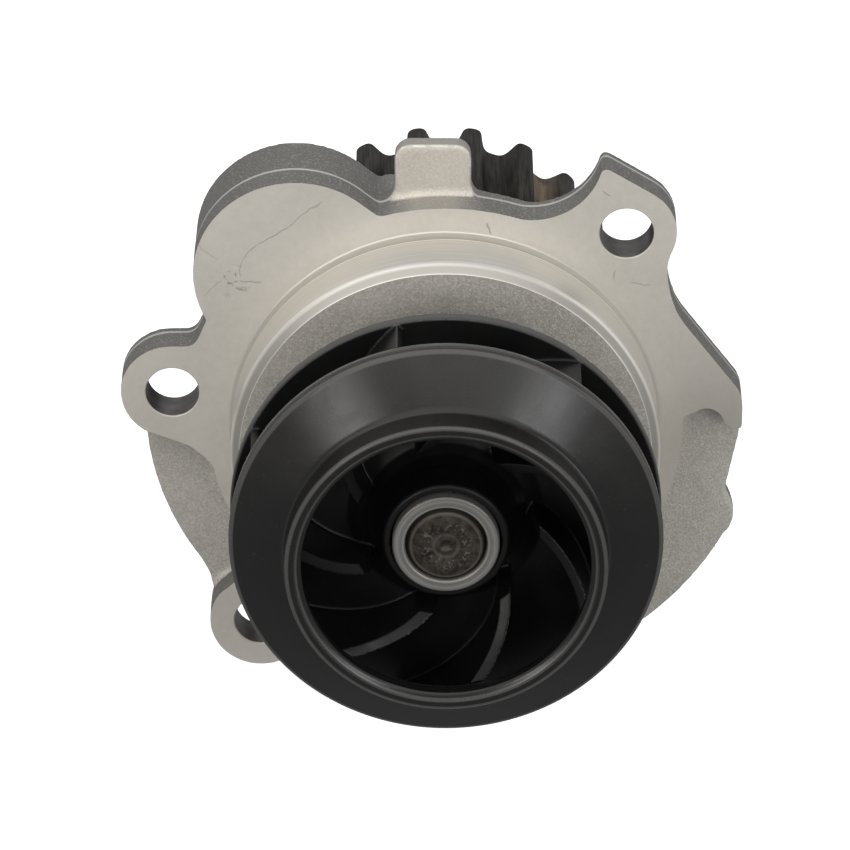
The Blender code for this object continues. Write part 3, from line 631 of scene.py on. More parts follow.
# Painted highlights along the spigot's edges and a ring of painted shade on its nose chamfer: place along the
# axis and half width in mm, tone
SPIGOT_PAINTED_LIGHT = (
    (-1.95, 0.30, (0.97, 0.95, 0.91)), (-9.80, 0.40, (0.97, 0.95, 0.91)),
    (-10.75, 0.55, (0.44, 0.42, 0.385)), (-11.3, 0.16, (0.90, 0.88, 0.84)),
)
turned_aluminium = as_turned(
    "turned_aluminium", (0.76, 0.74, 0.69), (0.66, 0.638, 0.59),
    rough=0.38, lines=2400, depth=0.012 * MM, metallic=0.75, light_and_shade_bands=SPIGOT_PAINTED_LIGHT,
)
for finish in (as_cast(), as_milled(), turned_aluminium, as_drilled()):
    casting.data.materials.append(finish)
CAST, MILLED, TURNED, DRILLED = range(4)
ON_PLANE = 0.01 * MM  # how near a face lies to the plane of the cut that made it
END_FACE_RADIUS = 19.6 * MM


def zone(face):
    """Which finish a face of the casting has, from where the cutters went."""
    out, y = hypot(face.center.x, face.center.z), face.center.y
    if y < -ON_PLANE and out > NOSE_RADIUS:
        return TURNED
    if abs(y) < ON_PLANE and face.normal.y < -0.99:
        return MILLED
    in_bore = out < SEAT_RADIUS + 0.1 * MM and y > CUP_SEAT + 0.3 * MM
    on_end_face = y > BOSS_REAR - 0.05 * MM or abs(y - CUP_SEAT) < ON_PLANE
    if in_bore or on_end_face and out < END_FACE_RADIUS:
        return TURNED
    for place, _ in EARS.values():
        from_hole = hypot(face.center.x - place.x, face.center.z - place.y)
        if from_hole < BOLT_HOLE_RADIUS + 0.03 * MM:
            return DRILLED
        on_spot_face = abs(y - SPOT_FACE) < ON_PLANE and from_hole < SPOT_FACE_RADIUS
        if on_spot_face or from_hole < BOLT_HOLE_RADIUS + 0.3 * MM:
            return MILLED
    return CAST


for face in casting.data.polygons:
    face.material_index = zone(face)
smooth(casting, 28)
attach(casting, "housing")
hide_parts("pump_housing")


# Reservoir cap. A shallow cup drawn from thin zinc-plated sheet steel and pressed into the machined mouth
# behind the lobe, open side out, so that it closes the chamber where leaked coolant collects.


def softened(bm, width, segments=2, sharper=30):
    """Rounds every edge of a closed shape that is sharper than an angle."""
    sharp = [edge for edge in bm.edges if edge.is_manifold and edge.calc_face_angle() > radians(sharper)]
    bmesh.ops.bevel(
        bm, geom=sharp, offset=width, affect="EDGES", segments=segments, profile=0.5, material=-1,
        clamp_overlap=True,
    )
    return bm


def as_plated():
    """Zinc plating over sheet steel: bright, a little cloudy, with short draw marks."""
    material, tree, shader, where = start_material("zinc_plating", (0.60, 0.58, 0.53), 0.95, 0.32)
    cloud = noise(tree, where, 260, 4, 0.6)
    marks = noise(tree, stretch(tree, where, (1, 0.08, 1)), 2400, 2, 0.6)
    colour = tint(tree, band(tree, cloud, 0.3, 0.7), (0.50, 0.485, 0.44), (0.66, 0.64, 0.58))
    join_inputs(tree, shader, Base_Color=colour, Roughness=band(tree, cloud, 0.3, 0.7, 0.26, 0.42))
    bump(tree, shader, marks, 0.01 * MM, 0.4)
    return material


cap_front, cap_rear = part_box("reservoir_cap")[0].y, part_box("reservoir_cap")[1].y
CAP_RADIUS = 12.3 * MM
CAP_SHEET = 1.0 * MM
cap_profile = [
    (0, cap_front), (CAP_RADIUS - 2.0 * MM, cap_front), (CAP_RADIUS - 0.3 * MM, cap_front + 0.7 * MM),
    (CAP_RADIUS, cap_front + 1.2 * MM), (CAP_RADIUS, cap_rear), (CAP_RADIUS - CAP_SHEET, cap_rear),
    (CAP_RADIUS - CAP_SHEET, cap_front + 2.2 * MM), (CAP_RADIUS - 1.9 * MM, cap_front + CAP_SHEET),
    (4.0 * MM, cap_front + CAP_SHEET), (3.4 * MM, cap_front + 0.7 * MM), (0, cap_front + 0.7 * MM),
]
cup_shape = softened(turned(cap_profile, 72, closed=False), 0.2 * MM)
cap = new_piece("drawn_reservoir_cap", shift(cup_shape, *LOBE))
plating = as_plated()
cap.data.materials.append(plating)
smooth(cap)
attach(cap, "housing")
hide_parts("reservoir_cap")


# Bearing outer ring. A long sleeve of hardened steel with two ball grooves ground inside and a seat for a
# lip seal at each end. It is pressed into the boss of the casting.

RING_FRONT, RING_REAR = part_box("bearing_outer_ring")[0].y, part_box("bearing_outer_ring")[1].y
BALL_ROWS = {"front": 12.5 * MM, "rear": 33.5 * MM}
BALL_PITCH = 10.0 * MM
BALL_RADIUS = 3.175 * MM
GROOVE_RADIUS = BALL_RADIUS + 0.22 * MM
RING_BORE = 12.0 * MM
RING_CHAMFER = 0.8 * MM
SEAL_SEAT = 13.1 * MM
SEAL_DEPTH = 2.6 * MM
RING_REACH = 53.9  # degrees of the groove on each side of its bottom

ring_profile = [
    (SEAL_SEAT, RING_FRONT), (SEAL_SEAT, RING_FRONT + SEAL_DEPTH), (RING_BORE, RING_FRONT + SEAL_DEPTH),
]
for row_y in BALL_ROWS.values():
    ring_profile += arc((BALL_PITCH, row_y), GROOVE_RADIUS, -RING_REACH, RING_REACH, 14)
ring_profile += [
    (RING_BORE, RING_REAR - SEAL_DEPTH), (SEAL_SEAT, RING_REAR - SEAL_DEPTH), (SEAL_SEAT, RING_REAR),
    (BEARING_RADIUS - RING_CHAMFER, RING_REAR), (BEARING_RADIUS, RING_REAR - RING_CHAMFER),
    (BEARING_RADIUS, RING_FRONT + RING_CHAMFER), (BEARING_RADIUS - RING_CHAMFER, RING_FRONT),
]
outer_ring = new_piece("bearing_sleeve", softened(turned(ring_profile, 96), 0.12 * MM))
ground_steel = as_turned(
    "ground_steel", (0.60, 0.59, 0.57), (0.47, 0.46, 0.44), rough=0.2, lines=5200, depth=0.008 * MM,
)
outer_ring.data.materials.append(ground_steel)
smooth(outer_ring)
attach(outer_ring, "housing")
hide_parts("bearing_outer_ring")


# Bearing seals. Two rings of black nitrile rubber on a stamped core, snapped into the ends of the sleeve.
# Each has a thin lip that runs on the shaft and keeps the grease in.


def as_rubber():
    """Moulded nitrile rubber: matte black, a fine grain and a few paler dusty patches."""
    black, dusty = (0.016, 0.016, 0.017), (0.0384, 0.0384, 0.0408)
    material, tree, shader, where = start_material("nitrile_rubber", black, 0.0, 0.55)
    grain = noise(tree, where, 2600, 3, 0.6)
    dust = band(tree, noise(tree, where, 240, 4, 0.6), 0.5, 0.75, 0, 0.5)
    colour = tint(tree, dust, black, dusty)
    join_inputs(tree, shader, Base_Color=colour, Roughness=band(tree, grain, 0.3, 0.7, 0.47, 0.65))
    bump(tree, shader, grain, 0.02 * MM, 0.5)
    return material


LIP_PROFILE = (
    (12.8, 0), (12.8, 2.0), (11.4, 2.0), (11.4, 1.1), (9.4, 1.1), (8.45, 1.75), (8.3, 1.6), (8.3, 1.0),
    (8.8, 0.35), (9.2, 0.0), (9.8, 0.0), (10.0, 0.25), (11.9, 0.25), (12.1, 0),
)
nitrile = as_rubber()
for end, seal_y, inward in (("front", RING_FRONT + 0.3 * MM, 1), ("rear", RING_REAR - 0.3 * MM, -1)):
    lip = [(radius * MM, seal_y + inward * depth * MM) for radius, depth in LIP_PROFILE]
    lip_seal = new_piece(f"lip_seal_{end}", softened(turned(lip, 96), 0.08 * MM))
    lip_seal.data.materials.append(nitrile)
    smooth(lip_seal)
    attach(lip_seal, "housing")
    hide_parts(f"bearing_seal_{end}")


# Ball sets. Two rows of seven chrome-steel balls, each row held apart by a crown cage that is injection
# moulded in glass-filled nylon and snaps over the balls from one side. Cage and balls go round together.

BALLS = 7
CAGE_INNER, CAGE_OUTER = 8.6 * MM, 11.4 * MM


def as_ball_steel():
    """Polished chrome steel with a smear of grease."""
    material, tree, shader, where = start_material("chrome_steel", (0.64, 0.63, 0.61), 1.0, 0.08)
    grease = band(tree, noise(tree, where, 420, 4, 0.6), 0.45, 0.7)
    colour = tint(tree, grease, (0.66, 0.65, 0.63), (0.50, 0.47, 0.42))
    join_inputs(tree, shader, Base_Color=colour, Roughness=band(tree, grease, 0, 1, 0.06, 0.24))
    return material


def as_nylon():
    """Glass-filled nylon: amber, with fibres that lie along the axis."""
    material, tree, shader, where = start_material("cage_nylon", (0.55, 0.42, 0.22), 0.0, 0.42)
    fibres = noise(tree, stretch(tree, where, (1, 0.3, 1)), 1500, 4, 0.7)
    colour = tint(tree, band(tree, fibres, 0.3, 0.7), (0.48, 0.355, 0.17), (0.60, 0.47, 0.26))
    join_inputs(tree, shader, Base_Color=colour, Roughness=band(tree, fibres, 0.3, 0.7, 0.36, 0.55))
    bump(tree, shader, fibres, 0.015 * MM, 0.5)
    return material


def ball_ring(row_y, radius):
    """Seven balls round the axis, in one bmesh."""
    shapes = []
    for number in range(BALLS):
        ball = bmesh.new()
        bmesh.ops.create_icosphere(ball, subdivisions=4, radius=radius)
        turn = 2 * pi * number / BALLS
        place = (BALL_PITCH * cos(turn), row_y, BALL_PITCH * sin(turn))
        bmesh.ops.translate(ball, verts=ball.verts, vec=place)
        shapes.append(ball)
    return joined(*shapes)


chrome_steel, nylon = as_ball_steel(), as_nylon()
for row, row_y in BALL_ROWS.items():
    mouth = 1 if row == "front" else -1
    back, front = row_y - mouth * 4.7 * MM, row_y + mouth * 1.4 * MM
    crown = [(CAGE_INNER, back), (CAGE_OUTER, back), (CAGE_OUTER, front), (CAGE_INNER, front)]
    cage = new_piece(f"crown_cage_{row}", softened(turned(crown, 98), 0.25 * MM))
    cut(cage, ball_ring(row_y, BALL_RADIUS + 0.2 * MM))
    settle(cage)
    cage.data.materials.clear()
    cage.data.materials.append(nylon)
    smooth(cage)
    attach(cage, f"ball_set_{row}")
    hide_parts(f"ball_cage_{row}")
    balls = new_piece(f"bearing_balls_{row}", ball_ring(row_y, BALL_RADIUS))
    balls.data.materials.append(chrome_steel)
    smooth(balls, 60)
    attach(balls, f"ball_set_{row}")
    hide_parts(*(f"ball_{row}_{number + 1}" for number in range(BALLS)))


# Shaft. One bar of bearing steel, ground all over: the balls run in two grooves cut in it, the pulley is
# pressed on its rear end and the impeller on its thinner nose. Both ends keep the lathe's centre hole.

SHAFT_FRONT, SHAFT_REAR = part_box("pump_shaft")[0].y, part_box("pump_shaft")[1].y
SHAFT_RADIUS = 8.0 * MM
SHAFT_NOSE_RADIUS = 6.0 * MM
SHAFT_SHOULDER = -1.0 * MM
shaft_profile = [
    (0, SHAFT_FRONT + 0.9 * MM), (0.75 * MM, SHAFT_FRONT + 0.25 * MM), (1.0 * MM, SHAFT_FRONT + 0.12 * MM),
    (2.2 * MM, SHAFT_FRONT + 0.10 * MM), (2.4 * MM, SHAFT_FRONT + 0.02 * MM), (4.9 * MM, SHAFT_FRONT),
    (5.25 * MM, SHAFT_FRONT + 0.12 * MM), (5.4 * MM, SHAFT_FRONT + 0.12 * MM),
    (SHAFT_NOSE_RADIUS, SHAFT_FRONT + 0.75 * MM), (SHAFT_NOSE_RADIUS, SHAFT_SHOULDER - 0.4 * MM),
    (SHAFT_NOSE_RADIUS + 0.4 * MM, SHAFT_SHOULDER), (SHAFT_RADIUS - 0.5 * MM, SHAFT_SHOULDER),
    (SHAFT_RADIUS, SHAFT_SHOULDER + 0.5 * MM),
]
for row_y in BALL_ROWS.values():
    shaft_profile += arc((BALL_PITCH, row_y), GROOVE_RADIUS, 180 + RING_REACH, 180 - RING_REACH, 14)
shaft_profile += [
    (SHAFT_RADIUS, SHAFT_REAR - 0.8 * MM), (SHAFT_RADIUS - 0.8 * MM, SHAFT_REAR), (2.6 * MM, SHAFT_REAR),
    (1.3 * MM, SHAFT_REAR - 1.8 * MM), (0, SHAFT_REAR - 2.6 * MM),
]


def as_oiled_end():
    """The end of the shaft: browned by oil, blotched, with hammer marks round the centre, a painted highlight
    round its edge and painted shade in the chamfer outside it.
    """
    material, tree, shader, where = start_material("oiled_shaft_end", (0.06, 0.052, 0.043), 0.6, 0.45)
    distance = distance_from(tree, where)
    blotches = noise(tree, where, 620, 4, 0.7, 0.6)
    marks = noise(tree, where, 1050, 1, 0.5, 1.5)
    colour = tint(tree, band(tree, blotches, 0.36, 0.64), (0.020, 0.017, 0.013), (0.074, 0.063, 0.051))
    ring = close_to(tree, distance, 3.2 * MM, 0.5 * MM, 1.3 * MM)
    struck = times(tree, ring, band(tree, marks, 0.56, 0.66))
    struck = maths(tree, "MAXIMUM", struck, close_to(tree, distance, 1.9 * MM, 0.1 * MM, 0.4 * MM, 0.5))
    colour = tint(tree, times(tree, struck, 0.55), colour, (0.22, 0.197, 0.17))
    # Painted highlight on the edge of the end face, then painted shade in the chamfer beyond it.
    colour = tint(tree, band(tree, distance, 5.1 * MM, 5.3 * MM, 0, 0.8), colour, (0.14, 0.126, 0.108))
    colour = tint(tree, band(tree, distance, 5.55 * MM, 5.7 * MM), colour, (0.012, 0.010, 0.008))
    join_inputs(tree, shader, Base_Color=colour, Roughness=band(tree, blotches, 0.3, 0.7, 0.34, 0.56))
    bump(tree, shader, maths(tree, "SUBTRACT", blotches, struck), 0.03 * MM, 0.6)
    return material


shaft = new_piece("ground_shaft", turned(shaft_profile, 96, closed=False))
shaft.data.materials.append(ground_steel)
shaft.data.materials.append(as_oiled_end())
for face in shaft.data.polygons:
    face.material_index = 1 if face.center.y < SHAFT_FRONT + 0.7 * MM else 0
smooth(shaft, 25)
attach(shaft, "rotor")
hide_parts("pump_shaft")


# Seal cup. A deep-drawn cup of zinc-plated steel whose flange stands on the spigot. It carries the
# stationary half of the shaft seal and closes the wet side of the casting.

CUP_PROFILE = mm(
    (10.0, -1.9), (10.0, -2.7), (13.7, -2.7), (14.2, -3.2), (14.2, -9.1), (14.7, -9.6), (18.6, -9.6),
    (18.6, -8.8), (15.6, -8.8), (15.0, -8.2), (15.0, -2.5), (14.4, -1.9),
)
cup = new_piece("drawn_seal_cup", softened(turned(CUP_PROFILE, 96), 0.12 * MM))
cup.data.materials.append(plating)
smooth(cup)
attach(cup, "housing")
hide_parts("seal_cup")


# Bellows and spring. The bellows is a thin moulded rubber sleeve with one fold, held in the cup at its
# rear end and gripping the carbon ring at its front. A wire spring round it pushes the ring forwards.

BELLOWS_PROFILE = mm(
    (13.8, -3.0), (13.8, -3.8), (11.2, -3.8), (11.0, -4.1), (11.0, -5.0), (12.2, -6.2), (12.3, -6.6),
    (12.3, -7.0), (12.2, -7.4), (11.0, -8.6), (12.5, -9.2), (12.8, -9.5), (12.8, -13.2), (11.9, -13.2),
    (11.9, -10.5), (11.6, -10.2), (9.6, -10.2), (9.6, -8.5), (11.0, -7.1), (11.1, -6.8), (11.0, -6.5),
    (9.8, -5.2), (9.8, -3.0),
)
bellows = new_piece("folded_bellows", softened(turned(BELLOWS_PROFILE, 72), 0.1 * MM))
bellows.data.materials.append(nitrile)
smooth(bellows, 50)
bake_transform(bellows)
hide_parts("seal_bellows")

COIL_RADIUS = 13.4 * MM
WIRE_RADIUS = 0.4 * MM
COIL_TURNS = 3
COIL_STEPS = 36 * COIL_TURNS
COIL_START, COIL_END = -4.5 * MM, -8.4 * MM
coil = bmesh.new()
bmesh.ops.create_circle(
    coil, cap_ends=True, segments=10, radius=WIRE_RADIUS,
    matrix=Matrix.Translation((COIL_RADIUS, COIL_START, 0)),
)
bmesh.ops.spin(
    coil, geom=[*coil.verts, *coil.edges, *coil.faces], axis=(0, -1, 0), angle=2 * pi * COIL_TURNS,
    steps=COIL_STEPS, dvec=(0, (COIL_END - COIL_START) / COIL_STEPS, 0),
)
bmesh.ops.recalc_face_normals(coil, faces=coil.faces)
spring = new_piece("seal_coil_spring", coil)
spring.data.materials.append(ground_steel)
smooth(spring, 60)
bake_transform(spring)
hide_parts("seal_spring")


# Carbon ring. The stationary seal face: resin-bonded carbon graphite, turned and then lapped flat on the
# narrow nose that rubs on the mating ring.

CARBON_PROFILE = mm(
    (9.0, -10.5), (11.6, -10.5), (11.6, -13.8), (10.9, -13.8), (10.9, -15.4), (9.2, -15.4), (9.0, -15.2),
)
carbon = new_piece("carbon_face_ring", softened(turned(CARBON_PROFILE, 96), 0.1 * MM))
lapped_carbon = as_turned(
    "lapped_carbon", (0.060, 0.060, 0.064), (0.030, 0.030, 0.033), rough=0.34, lines=2600,
)
carbon.data.materials.append(lapped_carbon)
smooth(carbon)
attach(carbon, "seal_face")
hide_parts("carbon_ring")


# Mating ring, its boot and the seal sleeve. The sintered silicon-carbide ring sits in a rubber boot on a
# drawn steel sleeve, which is pressed on the shaft behind the impeller, so the three turn with it.


def as_carbide():
    """Sintered silicon carbide: dark grey, with a glint on its crystals."""
    material, tree, shader, where = start_material("silicon_carbide", (0.14, 0.14, 0.15), 0.3, 0.16)
    crystals = node(tree, "TexVoronoi", {"Vector": where, "Scale": 5200}).outputs["Distance"]
    colour = tint(tree, band(tree, crystals, 0.1, 0.6), (0.20, 0.20, 0.215), (0.10, 0.10, 0.11))
    join_inputs(tree, shader, Base_Color=colour, Roughness=band(tree, crystals, 0.1, 0.6, 0.12, 0.34))
    return material


RING_PROFILE = mm((8.9, -15.7), (12.0, -15.7), (12.3, -16.0), (12.3, -19.5), (8.9, -19.5))
BOOT_PROFILE = mm((7.4, -15.9), (8.6, -15.9), (8.6, -19.8), (12.3, -19.8), (12.3, -21.0), (7.4, -21.0))
SLEEVE_PROFILE = mm(
    (6.3, -1.4), (6.3, -21.9), (6.8, -22.4), (12.6, -22.4), (12.6, -21.3), (7.6, -21.3), (7.1, -20.8),
    (7.1, -1.4),
)
seal_parts = {
    "mating_face_ring": (RING_PROFILE, as_carbide(), "mating_ring", "silicon_carbide"),
    "mating_ring_cushion": (BOOT_PROFILE, nitrile, "mating_ring_boot", "black_rubber"),
    "drawn_seal_sleeve": (SLEEVE_PROFILE, plating, "seal_sleeve", "plated_steel"),
}
for name, (profile, finish, cad_node, cad_slot) in seal_parts.items():
    piece = new_piece(name, softened(turned(profile, 96), 0.12 * MM))
    piece.data.materials.append(finish)
    smooth(piece)
    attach(piece, "rotor")
    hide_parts(cad_node)


# Hub insert. A turned steel bush that is moulded into the impeller and pressed on the shaft. Its end face
# shows the lathe's rings, and both edges are chamfered.

INSERT_FRONT, INSERT_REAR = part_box("impeller_hub_insert")[0].y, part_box("impeller_hub_insert")[1].y
INSERT_BORE = 6.2 * MM
INSERT_RADIUS = 8.15 * MM
insert_profile = [
    (INSERT_BORE, INSERT_REAR), (INSERT_BORE, INSERT_FRONT + 0.3 * MM),
    (INSERT_BORE + 0.25 * MM, INSERT_FRONT), (INSERT_RADIUS - 0.2 * MM, INSERT_FRONT),
    (INSERT_RADIUS, INSERT_FRONT + 0.2 * MM),
    (INSERT_RADIUS, INSERT_REAR - 0.5 * MM), (INSERT_RADIUS - 0.5 * MM, INSERT_REAR),
]
insert = new_piece("turned_hub_bush", softened(turned(insert_profile, 96), 0.06 * MM, segments=1))
turned_steel = as_turned(
    "turned_steel", (0.46, 0.45, 0.425), (0.17, 0.16, 0.15),
    rough=0.42, lines=2600, depth=0.04 * MM, metallic=0.7,
)
insert.data.materials.append(turned_steel)
smooth(insert, 20)
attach(insert, "rotor")
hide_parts("impeller_hub_insert")


# Vane disc. The rear half of the impeller, injection moulded in black glass-filled plastic round the hub
# bush: a thin disc, a flared hub and seven swept vanes whose front edges lie under the shroud.

IMPELLER_RADIUS = 33.0 * MM
DISC_FRONT, DISC_REAR = -28.0 * MM, -26.0 * MM
VANES = 7
VANE_START = radians(206)
VANE_SWEEP = radians(2.93) / MM  # turn of a vane for each metre further out
VANE_INNER = 14.4 * MM
VANE_THICKNESS = 1.9 * MM
VANE_TAPER = 0.6 * MM


def as_moulded(name, colour, rough, gloss, sheen_tone, highlit_edges):
    """Black moulded plastic: satin, faintly ringed by the mould, with a warm sheen painted on its upper side.

    Each pair of edges holds the (nearest, furthest) radii in millimetres of a painted highlight: a paler ring
    on the edge, with denser dust specks on it.
    """
    material, tree, shader, where = start_material(name, colour, 0.0, rough)
    shader.inputs["Specular IOR Level"].default_value = gloss
    across, along, up = split(tree, where)
    distance = distance_from(tree, where)
    # Painted sheen: a warm paler tint in soft streaks round the axis, only on the upper side.
    painted_sheen = band(tree, noise(tree, where, 110, 4, 0.6), 0.42, 0.72, 0, 0.4)
    turn = times(tree, maths(tree, "ARCTAN2", up, across), 2.2)
    sheen_spokes = node(tree, "CombineXYZ", {0: turn, 1: along}).outputs[0]
    sheen_spokes = band(tree, noise(tree, sheen_spokes, 2.3, 3, 0.55), 0.42, 0.66, 0.06, 0.6)
    painted_sheen = times(tree, maths(tree, "ADD", painted_sheen, sheen_spokes), band(tree, up, 2 * MM, 26 * MM), 0.9)
    colour = tint(tree, painted_sheen, colour, sheen_tone)
    dust = band(tree, noise(tree, where, 1700, 3, 0.75), 0.64, 0.72)
    # Painted highlights: paler rings on the edges between these radii.
    for near, far in highlit_edges:
        begun = band(tree, distance, (near - 0.1) * MM, (near + 0.1) * MM)
        ended = band(tree, distance, (far - 0.1) * MM, (far + 0.1) * MM, 1, 0)
        edge_highlight = times(tree, begun, ended)
        colour = tint(tree, times(tree, edge_highlight, 0.8), colour, (0.085, 0.084, 0.081))
        dust = maths(tree, "ADD", dust, times(tree, edge_highlight, dust, 3.0))
    dust = maths(tree, "MINIMUM", times(tree, dust, 0.12), 0.6)
    colour = tint(tree, dust, colour, (0.16, 0.155, 0.15))
    flow = noise(tree, where, 75, 5, 0.6, 0.8)
    roughness = band(tree, flow, 0.3, 0.7, rough - 0.04, rough + 0.08)
    join_inputs(tree, shader, Base_Color=colour, Roughness=roughness)
    bump(tree, shader, ring_noise(tree, where, 2600, 0.6), 0.012 * MM, 0.4)
    return material


def vane_outline(start):
    """One swept vane seen along the axis: an even turn for each millimetre outwards, thinner at its end."""
    steps = 18
    inner, outer = VANE_INNER - 1.5 * MM, IMPELLER_RADIUS - 0.8 * MM
    middle = []
    for i in range(steps + 1):
        radius = inner + (outer - inner) * i / steps
        turn = start - VANE_SWEEP * (radius - VANE_INNER)
        middle.append(Vector((radius * cos(turn), radius * sin(turn))))
    left, right = [], []
    for i, point in enumerate(middle):
        along = (middle[min(i + 1, steps)] - middle[max(i - 1, 0)]).normalized()
        across = Vector((-along.y, along.x)) * (VANE_THICKNESS - VANE_TAPER * i / steps) / 2
        left.append(point + across)
        right.append(point - across)
    return left + right[::-1]


hub_profile = [
    (INSERT_RADIUS + 0.3 * MM, -24.0 * MM), (INSERT_RADIUS + 0.3 * MM, -37.6 * MM),
    *mm((9.3, -37.6), (9.7, -37.2), (9.8, -35.0), (10.3, -32.0), (11.0, -30.3), (12.4, -29.0)),
    (15.0 * MM, DISC_FRONT), (IMPELLER_RADIUS, DISC_FRONT), (IMPELLER_RADIUS, DISC_REAR),
    (12.6 * MM, DISC_REAR), (12.0 * MM, -24.0 * MM),
]
under_shroud = mm((33.0, -35.3), (30.0, -36.3), (26.5, -38.1), (23.6, -40.3))
vane_trim = [(0, -50 * MM), (40 * MM, -50 * MM), (40 * MM, -20 * MM), (IMPELLER_RADIUS - 0.2 * MM, -20 * MM)]
vane_trim += [(IMPELLER_RADIUS - 0.2 * MM, under_shroud[0][1]), *under_shroud[1:]]
vane_trim += mm((21.2, -38.6), (14.2, -35.0), (12.6, -31.0), (0, -31.0))
vane_disc = new_piece("moulded_vane_disc", turned(hub_profile, 128))
vanes = new_piece("vanes", joined(*(
    slab(vane_outline(VANE_START + 2 * pi * number / VANES), DISC_FRONT + 0.8 * MM, -42.0 * MM)
    for number in range(VANES)
)))
cut(vanes, turned(vane_trim, 128, closed=False))
settle(vanes)
union = vane_disc.modifiers.new("vanes", "BOOLEAN")
union.object = vanes
union.operation = "UNION"
union.solver = "MANIFOLD"
soften_skin(vane_disc, 0.2 * MM, 4, 0.16)
vane_plastic = as_moulded(
    "black_vane_plastic", (0.0040, 0.0040, 0.0042), rough=0.36, gloss=0.26,
    sheen_tone=(0.008, 0.0075, 0.007), highlit_edges=((32.7, 34.0),),
)
vane_disc.data.materials.clear()
vane_disc.data.materials.append(vane_plastic)
smooth(vane_disc, 40)
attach(vane_disc, "rotor")
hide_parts("impeller_vane_disc")


# Shroud. The front half of the impeller, moulded in the same plastic and welded to the vanes: a shallow
# cone with a raised collar round the eye, where the coolant comes in, and a thin rolled rim.

EYE_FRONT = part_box("impeller_shroud")[0].y
EYE_RADIUS = 21.8 * MM
RIM_FRONT = -38.1 * MM
shroud_profile = [
    (EYE_RADIUS + 0.5 * MM, EYE_FRONT + 0.55 * MM), (22.8 * MM, EYE_FRONT + 0.4 * MM),
    (22.95 * MM, EYE_FRONT), (24.0 * MM, EYE_FRONT), (24.4 * MM, EYE_FRONT + 0.4 * MM),
    *mm((24.45, -42.4), (24.75, -41.9), (25.3, -41.55)),
    (32.3 * MM, RIM_FRONT - 0.15 * MM), (32.8 * MM, RIM_FRONT + 0.2 * MM),
    (IMPELLER_RADIUS, RIM_FRONT + 0.7 * MM), (32.85 * MM, RIM_FRONT + 0.95 * MM),
    (32.95 * MM, RIM_FRONT + 1.2 * MM),
    *mm((32.9, -35.75), (32.6, -35.65), (30.0, -36.6), (26.5, -38.4), (24.6, -39.7), (23.2, -41.2)),
    (22.3 * MM, -43.0 * MM), (EYE_RADIUS, -44.6 * MM), (EYE_RADIUS, EYE_FRONT + 0.9 * MM),
]
shroud = new_piece("moulded_shroud", softened(turned(shroud_profile, 224), 0.14 * MM, sharper=24))
shroud_plastic = as_moulded(
    "black_shroud_plastic", (0.0080, 0.0079, 0.0078), rough=0.24, gloss=0.45,
    sheen_tone=(0.020, 0.0170, 0.0145), highlit_edges=((22.5, 22.95), (23.75, 24.3), (32.3, 32.9)),
)
shroud.data.materials.append(shroud_plastic)
smooth(shroud, 22)
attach(shroud, "rotor")
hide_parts("impeller_shroud")


# Pulley. Pressed and sintered from steel powder and steam treated, so it is dark grey. The tooth flanks
# carry fine streaks from the die along the axis, and one groove is stained by old oil.

TEETH = 19
TIP_RADIUS = 28.1 * MM
ROOT_RADIUS = 24.45 * MM
PULLEY_FRONT, PULLEY_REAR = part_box("drive_pulley")[0].y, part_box("drive_pulley")[1].y
RIM_BORE = 21.9 * MM
WEB_FRONT, WEB_REAR = 45.0 * MM, 49.5 * MM
WEB_HOLES_RADIUS = 17.0 * MM
HUB_FRONT = 43.0 * MM
HUB_RADIUS = 12.0 * MM
HUB_BORE = SHAFT_RADIUS + 0.3 * MM
LAND_SHARE = 0.34  # part of the pitch that a tooth's land takes
GROOVE_EDGE_DROP = 0.7 * MM
# A land's points: share of the way across it, and how far they lie under the tip circle
LAND_PROFILE = (
    (0.06, 0.42 * MM), (0.15, 0.19 * MM), (0.3, 0.04 * MM), (0.5, 0),
    (0.7, 0.04 * MM), (0.85, 0.19 * MM), (0.94, 0.42 * MM),
)
STAINED_GROOVE = pi / 2 - 4 * pi / TEETH  # its angle round the axis


def groove_depth(share):
    """How far down a groove is, from 0 at its edges to 1 at its bottom, along a rounded trough."""
    side = abs(2 * share - 1)
    return (1 - side ** 3.4) ** 0.75


def pulley_outline():
    """Round-bottomed belt grooves between narrow lands with rounded corners; a groove stands at the top."""
    pitch = 2 * pi / TEETH
    steps = 16
    points = []
    for tooth in range(TEETH):
        groove_start = pi / 2 + (tooth - 0.5 + LAND_SHARE / 2) * pitch
        for i in range(steps + 1):
            radius = TIP_RADIUS - groove_depth(i / steps) * (TIP_RADIUS - ROOT_RADIUS)
            radius -= GROOVE_EDGE_DROP if i in (0, steps) else 0
            angle = groove_start + (1 - LAND_SHARE) * pitch * i / steps
            points.append((radius * cos(angle), radius * sin(angle)))
        for share, drop in LAND_PROFILE:
            angle = groove_start + (1 - LAND_SHARE + LAND_SHARE * share) * pitch
            points.append(((TIP_RADIUS - drop) * cos(angle), (TIP_RADIUS - drop) * sin(angle)))
    return points


